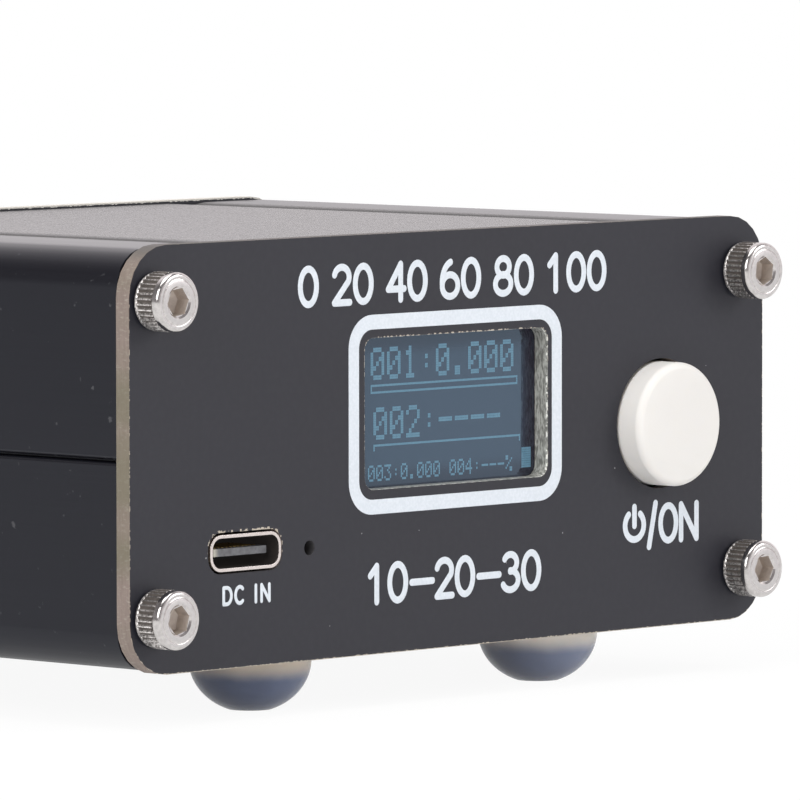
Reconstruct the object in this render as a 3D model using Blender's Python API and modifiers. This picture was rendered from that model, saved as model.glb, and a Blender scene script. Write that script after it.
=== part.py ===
"""SWR meter in a split extruded case, with a display and a push button in front
and two coaxial sockets behind.

Metres, +Z up. The front faces -Y. The meter stands on its rubber feet at Z = 0.
Depths are measured from the front face of the front panel, towards +Y.
"""

import math

import bmesh
import bpy

# Fits
SEAT = 0.0002  # between two pieces that rest on each other
PLAY = 0.0003  # round a piece that slides or drops into a hole
OVERRUN = 0.001  # by which a cutter passes the face that it cuts

# Panels: two equal circuit boards
PANEL_WIDTH = 0.0833
PANEL_HEIGHT = 0.0375
PANEL_THICKNESS = 0.0016
PANEL_CORNER = 0.0045
OVERHANG = 0.0003  # by which a panel stands out past the case all round

# Case: two extruded halves that meet at mid-height
CASE_LENGTH = 0.060
CASE_CORNER = 0.0034
WALL = 0.0015
SEAM_GAP = 0.0002
SEAM_CHAMFER = 0.00025
TONGUE_THICKNESS = 0.0006
TONGUE_HEIGHT = 0.0012
HOLLOW_INSET = 0.0135  # from the case's side to the middle of each shallow hollow
HOLLOW_WIDTH = 0.0050
HOLLOW_DEPTH = 0.00025
CHANNEL_WALL = 0.0013  # round each screw channel
CHANNEL_SLOT = 0.0010
BOARD_RIB_HEIGHT = 0.0010
BOARD_RIB_REACH = 0.0014

# Socket cap screws that hold the panels
SCREW_INSET_SIDE = 0.0031  # from the panel's side edge to the screw's axis
SCREW_INSET_END = 0.00492  # from the panel's top or bottom edge to the axis
SCREW_DIAMETER = 0.0030
SCREW_LENGTH = 0.0080
SCREW_HEAD_DIAMETER = 0.0053
SCREW_HEAD_HEIGHT = 0.0030
SCREW_HEAD_EDGE = 0.0003
SOCKET_ACROSS_FLATS = 0.0025
SOCKET_DEPTH = 0.0014
SCREW_PLAY = 0.0001  # between a thread and its channel, all round

# Display
WINDOW_WIDTH = 0.0241
WINDOW_HEIGHT = 0.0138
WINDOW_CORNER = 0.0011
GLASS_WIDTH = 0.0267
GLASS_HEIGHT = 0.01926
GLASS_LAYER = 0.0007
GLASS_ABOVE_WINDOW = 0.0017  # from the window's top edge to the glass's
GLASS_LEDGE = 0.0031  # strip at the foot of the glass with one layer only
DISPLAY_BOARD_WIDTH = 0.0273
DISPLAY_BOARD_TOP_GAP = 0.00145  # to the case's inside
DISPLAY_BOARD_FOOT_GAP = 0.00465
DISPLAY_BOARD_THICKNESS = 0.0012
DISPLAY_BOARD_ABOVE_GLASS = 0.0043
PIN_PITCH = 0.00254
PIN_SIDE = 0.00064
PIN_LENGTH = 0.0062
PINS = 4

# Button and its switch
BUTTON_INSET = 0.0142  # from the panel's side edge to the button's axis
BUTTON_DIAMETER = 0.0114
BUTTON_PROUD = 0.0026
BUTTON_LENGTH = 0.0051
BUTTON_EDGE = 0.0009
BUTTON_TRAVEL = 0.0003
BUTTON_STOP_GAP = 0.0003  # left behind the cap when it is pressed in
SWITCH_SIDE = 0.0120
SWITCH_COVER_THICKNESS = 0.0003
SWITCH_BASE_DEPTH = 0.0033
PLUNGER_DIAMETER = 0.0066
PLUNGER_SEATING = 0.0016  # by which the plunger's round foot runs into the base
POST_SIDE = 0.0038
POST_LENGTH = 0.0036
SWITCH_BOARD_MARGIN = 0.0010  # beside and above the switch
LEG_WIDTH = 0.0010
LEG_THICKNESS = 0.0004
LEG_LENGTH = 0.0032
LEG_SPREAD_SHARE = 0.42  # of the switch's side, from its middle to a leg

# Charging socket
USB_PLACE_SHARE = 0.6555  # of the panel's half width, from its middle to the socket's
USB_RISE = 0.00055  # of its middle above the main board, which is cut out for it
USB_WIDTH = 0.0089
USB_HEIGHT = 0.00325
USB_CORNER = 0.0013
USB_SHELL = 0.0003
USB_LENGTH = 0.00735
USB_PROUD = 0.0001
USB_TONGUE_WIDTH = 0.0067
USB_TONGUE_THICKNESS = 0.0007
USB_TONGUE_RECESS = 0.00065
USB_BLOCK_LENGTH = 0.0022

# Charge lamp and the hole in front of it
LAMP_PLACE_SHARE = 0.4  # of the way from the charging socket to the display
LAMP_HOLE_RISE = 0.0004  # of the hole's middle above the main board
LAMP_HOLE_DIAMETER = 0.00135
LAMP_WIDTH = 0.0014
LAMP_DEPTH = 0.0009
LAMP_HEIGHT = 0.0006

# Main board and what it carries
BOARD_THICKNESS = 0.0016
CHIP_SIDE = 0.0070
CHIP_HEIGHT = 0.0012
CHIP_DEPTH_SHARE = 0.42  # of the case's length, from its front end
CORE_THICKNESS = 0.0064
CORE_BORE_SHARE = 0.52  # of the core's outer radius
CORE_BACK_GAP = 0.00255  # from the core to the back panel
LINE_DIAMETER = 0.0050
LINE_OVERLAP = 0.0020  # of the through line past each contact's middle
FLAT_CORE_PLACE_SHARE = 0.5  # of the main board's half width
FLAT_CORE_DEPTH_SHARE = 0.52
BATTERY_WIDTH = 0.0400
BATTERY_LENGTH = 0.0300
BATTERY_THICKNESS = 0.0042
BATTERY_CORNER = 0.0012

# Coaxial sockets in the back panel
COAX_OFFSET = 0.0155  # from the panel's middle to each socket
COAX_FLANGE = 0.0254
COAX_FLANGE_THICKNESS = 0.0018
COAX_FLANGE_CORNER = 0.0012
COAX_BARREL_DIAMETER = 0.0159
COAX_BARREL_LENGTH = 0.0150
COAX_BARREL_BORE = 0.0124
COAX_BARREL_EDGE = 0.0006
COAX_SPIGOT_DIAMETER = 0.0156
COAX_SPIGOT_LENGTH = 0.0050  # behind the flange
INSULATOR_RECESS = 0.0016
INSULATOR_TAIL = 0.0012  # past the end of the spigot
INSULATOR_COLLAR = 0.0090  # across its narrow end, which a plug's sleeve goes round
INSULATOR_SHOULDER = 0.0085  # from the mouth down to the wide part
CONTACT_DIAMETER = 0.0060
CONTACT_BORE = 0.0040
CONTACT_BORE_DEPTH = 0.0110
CONTACT_RECESS = 0.0010
FLANGE_HOLE_PITCH = 0.0182
FLANGE_SCREW_LENGTH = 0.0080
FLANGE_HEAD_DIAMETER = 0.0056
FLANGE_HEAD_HEIGHT = 0.0018
NUT_ACROSS_FLATS = 0.0055
NUT_THICKNESS = 0.0024

# Feet
FOOT_DIAMETER = 0.0106
FOOT_HEIGHT = 0.00485
FOOT_DOME_HEIGHT = 0.0036
FOOT_TOP_DRAFT = 0.0002
FOOT_FLAT_SHARE = 0.36  # of the foot's radius
FOOT_INSET_SIDE = 0.0225  # from the panel's side edge to the foot's axis
FOOT_DEPTH = 0.0074  # from each panel's outer face to the foot's axis

# Facets
ROUND_STEPS = 32
PLAIN_STEPS = 24
FINE_STEPS = 48
CORNER_STEPS = 6
HOLLOW_STEPS = 4

# Places that follow from the sizes above
CASE_WIDTH = PANEL_WIDTH - 2 * OVERHANG
CASE_HEIGHT = PANEL_HEIGHT - 2 * OVERHANG
CASE_FRONT = PANEL_THICKNESS + SEAT
CASE_BACK = CASE_FRONT + CASE_LENGTH
BACK_PANEL_INSIDE = CASE_BACK + SEAT
BACK_PANEL_OUTSIDE = BACK_PANEL_INSIDE + PANEL_THICKNESS
MIDDLE = FOOT_HEIGHT + SEAT + CASE_HEIGHT / 2  # height of the seam
INSIDE_WIDTH = CASE_WIDTH - 2 * WALL
INSIDE_HEIGHT = CASE_HEIGHT - 2 * WALL
SCREW_X = PANEL_WIDTH / 2 - SCREW_INSET_SIDE
SCREW_Z = PANEL_HEIGHT / 2 - SCREW_INSET_END
CHANNEL_RADIUS = SCREW_DIAMETER / 2 + SCREW_PLAY
CHANNEL_OUTER = CHANNEL_RADIUS + CHANNEL_WALL
HOLLOW_X = CASE_WIDTH / 2 - HOLLOW_INSET
# Drops are measured down from the seam.
BOARD_DROP = SCREW_Z - CHANNEL_OUTER - SEAT  # underside of the main board
BOARD_TOP = MIDDLE - BOARD_DROP + BOARD_THICKNESS
BOARD_HALF_WIDTH = INSIDE_WIDTH / 2 - PLAY
RIB_DROP = BOARD_DROP - BOARD_THICKNESS - SEAT
BUTTON_X = PANEL_WIDTH / 2 - BUTTON_INSET
USB_X = -USB_PLACE_SHARE * PANEL_WIDTH / 2
USB_HEIGHT_UP = BOARD_TOP + USB_RISE
SWITCH_COVER_FRONT = BUTTON_LENGTH - BUTTON_PROUD + BUTTON_TRAVEL + BUTTON_STOP_GAP
SWITCH_BASE_FRONT = SWITCH_COVER_FRONT + SWITCH_COVER_THICKNESS + SEAT
SWITCH_BOARD_FRONT = SWITCH_BASE_FRONT + SWITCH_BASE_DEPTH + SEAT
GLASS_FRONT = PANEL_THICKNESS + SEAT
# The display hangs from the top of the case's inside. Rises are from the seam.
DISPLAY_BOARD_HEIGHT = INSIDE_HEIGHT - DISPLAY_BOARD_TOP_GAP - DISPLAY_BOARD_FOOT_GAP
DISPLAY_BOARD_TOP = INSIDE_HEIGHT / 2 - DISPLAY_BOARD_TOP_GAP
GLASS_TOP = DISPLAY_BOARD_TOP - DISPLAY_BOARD_ABOVE_GLASS
WINDOW_RISE = GLASS_TOP - GLASS_ABOVE_WINDOW - WINDOW_HEIGHT / 2
DISPLAY_BOARD_FRONT = GLASS_FRONT + 2 * GLASS_LAYER + SEAT
HEADER_FRONT = DISPLAY_BOARD_FRONT + DISPLAY_BOARD_THICKNESS + SEAT
USB_RIGHT = USB_X + USB_WIDTH / 2
LAMP_X = USB_RIGHT - LAMP_PLACE_SHARE * (USB_RIGHT + DISPLAY_BOARD_WIDTH / 2)
FLANGE_BACK = BACK_PANEL_OUTSIDE + SEAT
FLANGE_FRONT = FLANGE_BACK + COAX_FLANGE_THICKNESS
BARREL_END = FLANGE_FRONT + COAX_BARREL_LENGTH
SPIGOT_END = FLANGE_BACK - COAX_SPIGOT_LENGTH
INSULATOR_END = SPIGOT_END - INSULATOR_TAIL
CORE_OUTER = MIDDLE - BOARD_TOP - SEAT
LINE_DEPTH = BACK_PANEL_INSIDE - CORE_BACK_GAP - CORE_OUTER
CONTACT_END = LINE_DEPTH + LINE_DIAMETER / 2 + SEAT
SCREW_FRONT = -SEAT - SCREW_HEAD_HEIGHT
DEPTH_MIDDLE = (SCREW_FRONT + BARREL_END) / 2  # of everything, screws and barrels too

TO_FRONT = (math.pi / 2, 0, 0)  # turns an object's own +Z to -Y
TO_BACK = (-math.pi / 2, 0, 0)
TO_SIDE = (math.pi / 2, 0, math.pi / 2)  # own X to depth, own Y to height
FLAT = (0, 0, 0)


# The scene


def clear_scene():
    for obj in list(bpy.data.objects):
        bpy.data.objects.remove(obj)


def new_collection(name):
    collection = bpy.data.collections.new(name)
    bpy.context.scene.collection.children.link(collection)
    return collection


def new_material(name, colour, roughness, metallic=0.0):
    material = bpy.data.materials.new(name)
    material.use_nodes = True
    shader = material.node_tree.nodes["Principled BSDF"]
    shader.inputs["Base Color"].default_value = (*colour, 1)
    shader.inputs["Roughness"].default_value = roughness
    shader.inputs["Metallic"].default_value = metallic
    material.diffuse_color = (*colour, 1)
    return material


def add_object(name, data, turn=FLAT, at=(0, 0, 0), material=None):
    obj = bpy.data.objects.new(name, data)
    PARTS.objects.link(obj)
    obj.parent = ROOT
    obj.rotation_euler = turn
    obj.location = at
    if material and not data.materials:
        data.materials.append(material)
    return obj


def as_cutter(obj):
    PARTS.objects.unlink(obj)
    CUTTERS.objects.link(obj)
    obj.hide_render = True
    obj.display_type = "WIRE"
    return obj


# Outlines, as lists of (x, y) points


def arc(centre, radius, start, end, steps):
    """Points from the angle start to the angle end, in degrees, both included."""
    return [
        (centre[0] + radius * math.cos(angle), centre[1] + radius * math.sin(angle))
        for angle in (
            math.radians(start + (end - start) * step / steps) for step in range(steps + 1)
        )
    ]


def circle(centre, radius, steps=ROUND_STEPS):
    return arc(centre, radius, 0, 360, steps)[:-1]


def rounded_rectangle(width, height, radius, centre=(0, 0), steps=CORNER_STEPS):
    x, y = width / 2 - radius, height / 2 - radius
    points = []
    for side_x, side_y, start in ((1, 1, 0), (-1, 1, 90), (-1, -1, 180), (1, -1, 270)):
        corner = (centre[0] + side_x * x, centre[1] + side_y * y)
        points += arc(corner, radius, start, start + 90, steps)
    return points


def rectangle(x0, y0, x1, y1):
    return [(x0, y0), (x1, y0), (x1, y1), (x0, y1)]


def hexagon(across_flats):
    return circle((0, 0), across_flats / math.sqrt(3), 6)


# Shapes


def extruded(name, outlines, thickness, turn, at, material):
    """A flat outline with its holes, given thickness to both sides of its plane."""
    curve = bpy.data.curves.new(name, "CURVE")
    curve.dimensions = "2D"
    curve.fill_mode = "BOTH"
    curve.extrude = thickness / 2
    for outline in outlines:
        spline = curve.splines.new("POLY")
        spline.points.add(len(outline) - 1)
        for point, (x, y) in zip(spline.points, outline):
            point.co = (x, y, 0, 1)
        spline.use_cyclic_u = True
    return add_object(name, curve, turn, at, material)


def turned(name, profile, turn, at, material, closed=False, steps=ROUND_STEPS):
    """A profile of (radius, height) points, from the top down its outer side, turned."""
    mesh = bpy.data.meshes.new(name)
    edges = [(i, i + 1) for i in range(len(profile) - 1)]
    if closed:
        edges.append((len(profile) - 1, 0))
    mesh.from_pydata([(radius, 0, height) for radius, height in profile], edges, [])
    obj = add_object(name, mesh, turn, at, material)
    screw = obj.modifiers.new("Turn", "SCREW")
    screw.steps = screw.render_steps = steps
    screw.use_merge_vertices = True
    screw.merge_threshold = SEAT / 20
    screw.use_smooth_shade = True
    return obj


def box(name, size, at, material, turn=FLAT, edge=0.0):
    mesh = bpy.data.meshes.new(name)
    shape = bmesh.new()
    bmesh.ops.create_cube(shape, size=1)
    bmesh.ops.scale(shape, vec=size, verts=shape.verts)
    shape.to_mesh(mesh)
    shape.free()
    obj = add_object(name, mesh, turn, at, material)
    if edge:
        bevel = obj.modifiers.new("Edges", "BEVEL")
        bevel.width = edge
        bevel.segments = 2
    return obj


def combine(obj, other, operation):
    step = obj.modifiers.new(operation.title(), "BOOLEAN")
    step.operation = operation
    step.solver = "EXACT"
    step.object = as_cutter(other)


def solid(obj):
    """The object as a plain mesh, with its modifiers applied and its caps welded."""
    bpy.context.view_layer.update()
    graph = bpy.context.evaluated_depsgraph_get()
    mesh = bpy.data.meshes.new_from_object(obj.evaluated_get(graph))
    shape = bmesh.new()
    shape.from_mesh(mesh)
    bmesh.ops.remove_doubles(shape, verts=shape.verts, dist=SEAT / 20)
    shape.to_mesh(mesh)
    shape.free()
    mesh.name = obj.name
    return mesh


def made_solid(obj):
    """Replaces a curve or a modified object by its plain mesh, in the same place."""
    name, turn, at = obj.name, tuple(obj.rotation_euler), tuple(obj.location)
    mesh = solid(obj)
    bpy.data.objects.remove(obj)
    return add_object(name, mesh, turn, at)


# Panels


def screw_places():
    return [(x, z) for z in (SCREW_Z, -SCREW_Z) for x in (-SCREW_X, SCREW_X)]


def panel_outline():
    return rounded_rectangle(PANEL_WIDTH, PANEL_HEIGHT, PANEL_CORNER)


def screw_holes():
    return [circle(place, SCREW_DIAMETER / 2 + PLAY / 2, 20) for place in screw_places()]


def front_panel():
    window = rounded_rectangle(WINDOW_WIDTH, WINDOW_HEIGHT, WINDOW_CORNER, (0, WINDOW_RISE))
    button = circle((BUTTON_X, 0), BUTTON_DIAMETER / 2 + PLAY, FINE_STEPS)
    width, height = USB_WIDTH + 2 * SEAT, USB_HEIGHT + 2 * SEAT
    slot = rounded_rectangle(width, height, USB_CORNER + SEAT, (USB_X, USB_HEIGHT_UP - MIDDLE))
    lamp_at = (LAMP_X, BOARD_TOP + LAMP_HOLE_RISE - MIDDLE)
    lamp = circle(lamp_at, LAMP_HOLE_DIAMETER / 2, 12)
    outlines = [panel_outline(), window, button, slot, lamp, *screw_holes()]
    at = (0, PANEL_THICKNESS / 2, MIDDLE)
    extruded("front_panel", outlines, PANEL_THICKNESS, TO_FRONT, at, BLACK_BOARD)


def back_panel():
    outlines = [panel_outline(), *screw_holes()]
    for side in (-1, 1):
        middle = side * COAX_OFFSET
        outlines.append(circle((middle, 0), COAX_SPIGOT_DIAMETER / 2 + PLAY, FINE_STEPS))
        for x, z in flange_places():
            outlines.append(circle((middle + x, z), SCREW_DIAMETER / 2 + PLAY / 2, 16))
    at = (0, (BACK_PANEL_INSIDE + BACK_PANEL_OUTSIDE) / 2, MIDDLE)
    extruded("back_panel", outlines, PANEL_THICKNESS, TO_FRONT, at, BLACK_BOARD)


# Case halves


def screw_channel():
    """The rounded block in the corner, with the slotted channel that takes a screw."""
    centre = (SCREW_X, SCREW_Z)
    half_slot = CHANNEL_SLOT / 2
    outer_turn = math.degrees(math.asin(half_slot / CHANNEL_OUTER))
    inner_turn = math.degrees(math.asin(half_slot / CHANNEL_RADIUS))
    return [
        (INSIDE_WIDTH / 2, SCREW_Z - CHANNEL_OUTER),
        *arc(centre, CHANNEL_OUTER, -90, -135 + outer_turn, 3),
        *arc(centre, CHANNEL_RADIUS, -135 + inner_turn, 225 - inner_turn, 16),
        *arc(centre, CHANNEL_OUTER, -135 - outer_turn, -180, 3),
        (SCREW_X - CHANNEL_OUTER, INSIDE_HEIGHT / 2),
    ]


def hollow(top):
    """The shallow round hollow that runs along the case, from its inner to its outer edge."""
    half = HOLLOW_WIDTH / 2
    radius = (half**2 + HOLLOW_DEPTH**2) / (2 * HOLLOW_DEPTH)
    turn = math.degrees(math.asin(half / radius))
    return arc((HOLLOW_X, top + radius - HOLLOW_DEPTH), radius, -90 - turn, -90 + turn, HOLLOW_STEPS)


def right_side(has_tongue):
    """Half of a case half's section, from the top's middle round to its inside.

    Heights are measured from the seam, as on the upper half.
    """
    side, top, seam = CASE_WIDTH / 2, CASE_HEIGHT / 2, SEAM_GAP / 2
    inside = INSIDE_WIDTH / 2
    points = [
        *hollow(top),
        *arc((side - CASE_CORNER, top - CASE_CORNER), CASE_CORNER, 90, 0, CORNER_STEPS),
        (side, seam + SEAM_CHAMFER),
        (side - SEAM_CHAMFER, seam),
    ]
    if has_tongue:
        face = inside + TONGUE_THICKNESS
        reach = inside - BOARD_RIB_REACH
        rib = RIB_DROP - BOARD_RIB_HEIGHT
        points += [(face, seam), (face, -TONGUE_HEIGHT), (inside, -TONGUE_HEIGHT)]
        points += [(inside, rib), (reach, rib), (reach, RIB_DROP), (inside, RIB_DROP)]
    else:
        face = inside + TONGUE_THICKNESS + SEAM_GAP
        height = TONGUE_HEIGHT + SEAM_GAP
        points += [(face, seam), (face, height), (inside, height)]
    return points + screw_channel()


def case_half(name, direction):
    right = right_side(has_tongue=direction < 0)
    left = [(-x, z) for x, z in reversed(right)]
    section = [(x, direction * z) for x, z in right + left]
    at = (0, (CASE_FRONT + CASE_BACK) / 2, MIDDLE)
    extruded(name, [section], CASE_LENGTH, TO_FRONT, at, ANODISED)


# Socket cap screws


def cap_screw_mesh():
    head, shank = SCREW_HEAD_DIAMETER / 2, SCREW_DIAMETER / 2
    tip = SCREW_DIAMETER / 2 - SCREW_HEAD_EDGE
    profile = [
        (0, SCREW_HEAD_HEIGHT),
        (head - SCREW_HEAD_EDGE, SCREW_HEAD_HEIGHT),
        (head, SCREW_HEAD_HEIGHT - SCREW_HEAD_EDGE),
        (head, 0),
        (shank, 0),
        (shank, SCREW_HEAD_EDGE - SCREW_LENGTH),
        (tip, -SCREW_LENGTH),
        (0, -SCREW_LENGTH),
    ]
    screw = turned("cap_screw", profile, FLAT, (0, 0, 0), STEEL, steps=PLAIN_STEPS)
    depth = SOCKET_DEPTH + OVERRUN
    at = (0, 0, SCREW_HEAD_HEIGHT - SOCKET_DEPTH + depth / 2)
    key = extruded("key", [hexagon(SOCKET_ACROSS_FLATS)], depth, FLAT, at, STEEL)
    combine(screw, made_solid(key), "DIFFERENCE")
    mesh = solid(screw)
    bpy.data.objects.remove(screw)
    return mesh


def panel_screws():
    mesh = cap_screw_mesh()
    for number, (x, z) in enumerate(screw_places(), 1):
        front = (x, -SEAT, MIDDLE + z)
        back = (x, BACK_PANEL_OUTSIDE + SEAT, MIDDLE + z)
        add_object(f"front_screw_{number}", mesh, TO_FRONT, front)
        add_object(f"back_screw_{number}", mesh, TO_BACK, back)


# Display


def display():
    top, back = GLASS_TOP, 2 * GLASS_LAYER
    bottom = top - GLASS_HEIGHT
    step = bottom + GLASS_LEDGE
    side = [(0, top), (back, top), (back, bottom)]
    side += [(GLASS_LAYER, bottom), (GLASS_LAYER, step), (0, step)]
    at = (0, GLASS_FRONT, MIDDLE)
    extruded("display_glass", [side], GLASS_WIDTH, TO_SIDE, at, GLASS)

    size = (DISPLAY_BOARD_WIDTH, DISPLAY_BOARD_THICKNESS, DISPLAY_BOARD_HEIGHT)
    middle = MIDDLE + DISPLAY_BOARD_TOP - DISPLAY_BOARD_HEIGHT / 2
    at = (0, DISPLAY_BOARD_FRONT + DISPLAY_BOARD_THICKNESS / 2, middle)
    box("display_board", size, at, BLUE_BOARD)
    display_header(MIDDLE + DISPLAY_BOARD_TOP - PIN_PITCH)


def display_header(height):
    """A strip of square pins, with the notches that part them in the plastic."""
    half, edge, notch = PINS * PIN_PITCH / 2, -PIN_PITCH / 2, PIN_SIDE / 2
    lower = [(-half, edge)]
    for gap in range(1, PINS):
        x = -half + gap * PIN_PITCH
        lower += [(x - notch, edge), (x, edge + notch), (x + notch, edge)]
    lower.append((half, edge))
    outline = lower + [(x, -z) for x, z in reversed(lower)]
    at = (0, HEADER_FRONT + PIN_PITCH / 2, height)
    strip = extruded("display_header", [outline], PIN_PITCH, TO_FRONT, at, BLACK_PLASTIC)
    strip = made_solid(strip)
    for pin in range(PINS):
        x = (pin + 0.5) * PIN_PITCH - half
        middle = (x, HEADER_FRONT + PIN_PITCH / 2 + PIN_LENGTH / 2, height)
        size = (PIN_SIDE, PIN_LENGTH, PIN_SIDE)
        combine(strip, box(f"pin_{pin + 1}", size, middle, STEEL), "UNION")


# Button and switch


def button():
    radius, back = BUTTON_DIAMETER / 2, BUTTON_PROUD - BUTTON_LENGTH
    rim = arc((radius - BUTTON_EDGE, BUTTON_PROUD - BUTTON_EDGE), BUTTON_EDGE, 90, 0, 4)
    profile = [(0, BUTTON_PROUD), *rim, (radius, back), (0, back)]
    at = (BUTTON_X, 0, MIDDLE)
    cap = turned("button_cap", profile, TO_FRONT, at, IVORY, steps=FINE_STEPS)
    side = POST_SIDE + PLAY
    depth = POST_LENGTH + SEAT + OVERRUN
    pocket_at = (BUTTON_X, depth / 2 + SWITCH_COVER_FRONT - SEAT - POST_LENGTH - SEAT, MIDDLE)
    combine(cap, box("pocket", (side, depth, side), pocket_at, IVORY), "DIFFERENCE")
    plunger()


def plunger():
    """The round foot that runs in the switch, and the square post that carries the cap."""
    radius = PLUNGER_DIAMETER / 2
    front = SEAT - SWITCH_COVER_FRONT
    profile = [(0, front), (radius, front), (radius, front - SEAT - PLUNGER_SEATING)]
    profile.append((0, front - SEAT - PLUNGER_SEATING))
    at = (BUTTON_X, 0, MIDDLE)
    foot = turned("switch_plunger", profile, TO_FRONT, at, BLACK_PLASTIC)
    length = POST_LENGTH + OVERRUN
    middle = (BUTTON_X, -front - POST_LENGTH + length / 2, MIDDLE)
    post = box("post", (POST_SIDE, length, POST_SIDE), middle, BLACK_PLASTIC)
    combine(foot, post, "UNION")


def switch():
    opening = circle((0, 0), PLUNGER_DIAMETER / 2 + PLAY)
    square = rounded_rectangle(SWITCH_SIDE, SWITCH_SIDE, SEAM_GAP)
    thickness = SWITCH_COVER_THICKNESS
    at = (BUTTON_X, SWITCH_COVER_FRONT + thickness / 2, MIDDLE)
    extruded("switch_cover", [square, opening], thickness, TO_FRONT, at, STEEL)

    middle = SWITCH_BASE_FRONT + SWITCH_BASE_DEPTH / 2
    size = (SWITCH_SIDE, SWITCH_BASE_DEPTH, SWITCH_SIDE)
    base = box("switch_base", size, (BUTTON_X, middle, MIDDLE), BLACK_PLASTIC)
    # The well ends one travel and one gap behind the plunger's foot.
    well_end = SWITCH_COVER_FRONT + PLUNGER_SEATING + BUTTON_TRAVEL + BUTTON_STOP_GAP
    radius = PLUNGER_DIAMETER / 2 + PLAY
    profile = [(0, OVERRUN - SWITCH_BASE_FRONT), (radius, OVERRUN - SWITCH_BASE_FRONT)]
    profile += [(radius, -well_end), (0, -well_end)]
    at = (BUTTON_X, 0, MIDDLE)
    combine(base, turned("well", profile, TO_FRONT, at, BLACK_PLASTIC), "DIFFERENCE")
    for number, (x, z) in enumerate(leg_places(), 1):
        length = LEG_LENGTH + OVERRUN
        back = SWITCH_BASE_FRONT + SWITCH_BASE_DEPTH + LEG_LENGTH
        middle = (BUTTON_X + x, back - length / 2, MIDDLE + z)
        leg = box(f"leg_{number}", (LEG_WIDTH, length, LEG_THICKNESS), middle, STEEL)
        combine(base, leg, "UNION")


def leg_places():
    spread = SWITCH_SIDE * LEG_SPREAD_SHARE
    return [(x, z) for x in (-spread, spread) for z in (-spread, spread)]


def switch_board():
    """Stands on the main board, with slots for the switch's legs."""
    foot = BOARD_TOP + SEAT - MIDDLE
    half = SWITCH_SIDE / 2 + SWITCH_BOARD_MARGIN
    outlines = [rectangle(-half, foot, half, half)]
    for x, z in leg_places():
        w, h = LEG_WIDTH / 2 + PLAY / 2, LEG_THICKNESS / 2 + PLAY / 2
        outlines.append(rectangle(x - w, z - h, x + w, z + h))
    at = (BUTTON_X, SWITCH_BOARD_FRONT + BOARD_THICKNESS / 2, MIDDLE)
    extruded("switch_board", outlines, BOARD_THICKNESS, TO_FRONT, at, GREEN_BOARD)


# Charging socket and lamp


def charging_socket():
    inner_width, inner_height = USB_WIDTH - 2 * USB_SHELL, USB_HEIGHT - 2 * USB_SHELL
    outer = rounded_rectangle(USB_WIDTH, USB_HEIGHT, USB_CORNER)
    inner = rounded_rectangle(inner_width, inner_height, USB_CORNER - USB_SHELL)
    at = (USB_X, USB_LENGTH / 2 - USB_PROUD, USB_HEIGHT_UP)
    extruded("usb_shell", [outer, inner], USB_LENGTH, TO_FRONT, at, STEEL)

    back = USB_LENGTH - USB_PROUD
    block = back - USB_BLOCK_LENGTH
    half, thin = inner_height / 2 - SEAT, USB_TONGUE_THICKNESS / 2
    upper = [(USB_TONGUE_RECESS, thin), (block, thin), (block, half), (back, half)]
    side = upper + [(y, -z) for y, z in reversed(upper)]
    at = (USB_X, 0, USB_HEIGHT_UP)
    extruded("usb_tongue", [side], USB_TONGUE_WIDTH, TO_SIDE, at, BLACK_PLASTIC)


def charge_lamp():
    size = (LAMP_WIDTH, LAMP_DEPTH, LAMP_HEIGHT)
    depth = CASE_FRONT + PLAY + SEAT + LAMP_DEPTH / 2
    at = (LAMP_X, depth, BOARD_TOP + SEAT + LAMP_HEIGHT / 2)
    box("charge_lamp", size, at, LAMP, edge=SEAT / 2)


# Main board and what it carries


def main_board():
    """Fills the case's slots, cut back for the charging socket, the display and the nuts."""
    half = BOARD_HALF_WIDTH
    front, back = CASE_FRONT + PLAY, CASE_BACK - PLAY
    usb_left, usb_right = USB_X - USB_WIDTH / 2 - PLAY, USB_RIGHT + PLAY
    usb_back = USB_LENGTH - USB_PROUD + PLAY
    display_side = DISPLAY_BOARD_WIDTH / 2 + PLAY
    display_back = HEADER_FRONT + PIN_PITCH + PLAY
    sockets_side = COAX_OFFSET + COAX_FLANGE / 2
    sockets_front = FLANGE_FRONT - FLANGE_SCREW_LENGTH - PLAY
    outline = [
        (-half, front),
        (usb_left, front),
        (usb_left, usb_back),
        (usb_right, usb_back),
        (usb_right, front),
        (-display_side, front),
        (-display_side, display_back),
        (display_side, display_back),
        (display_side, front),
        (half, front),
        (half, back),
        (sockets_side, back),
        (sockets_side, sockets_front),
        (-sockets_side, sockets_front),
        (-sockets_side, back),
        (-half, back),
    ]
    at = (0, 0, BOARD_TOP - BOARD_THICKNESS / 2)
    extruded("main_board", [outline], BOARD_THICKNESS, FLAT, at, GREEN_BOARD)
    size = (CHIP_SIDE, CHIP_SIDE, CHIP_HEIGHT)
    depth = CASE_FRONT + CASE_LENGTH * CHIP_DEPTH_SHARE
    at = (0, depth, BOARD_TOP + SEAT + CHIP_HEIGHT / 2)
    box("controller_chip", size, at, BLACK_PLASTIC)


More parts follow.
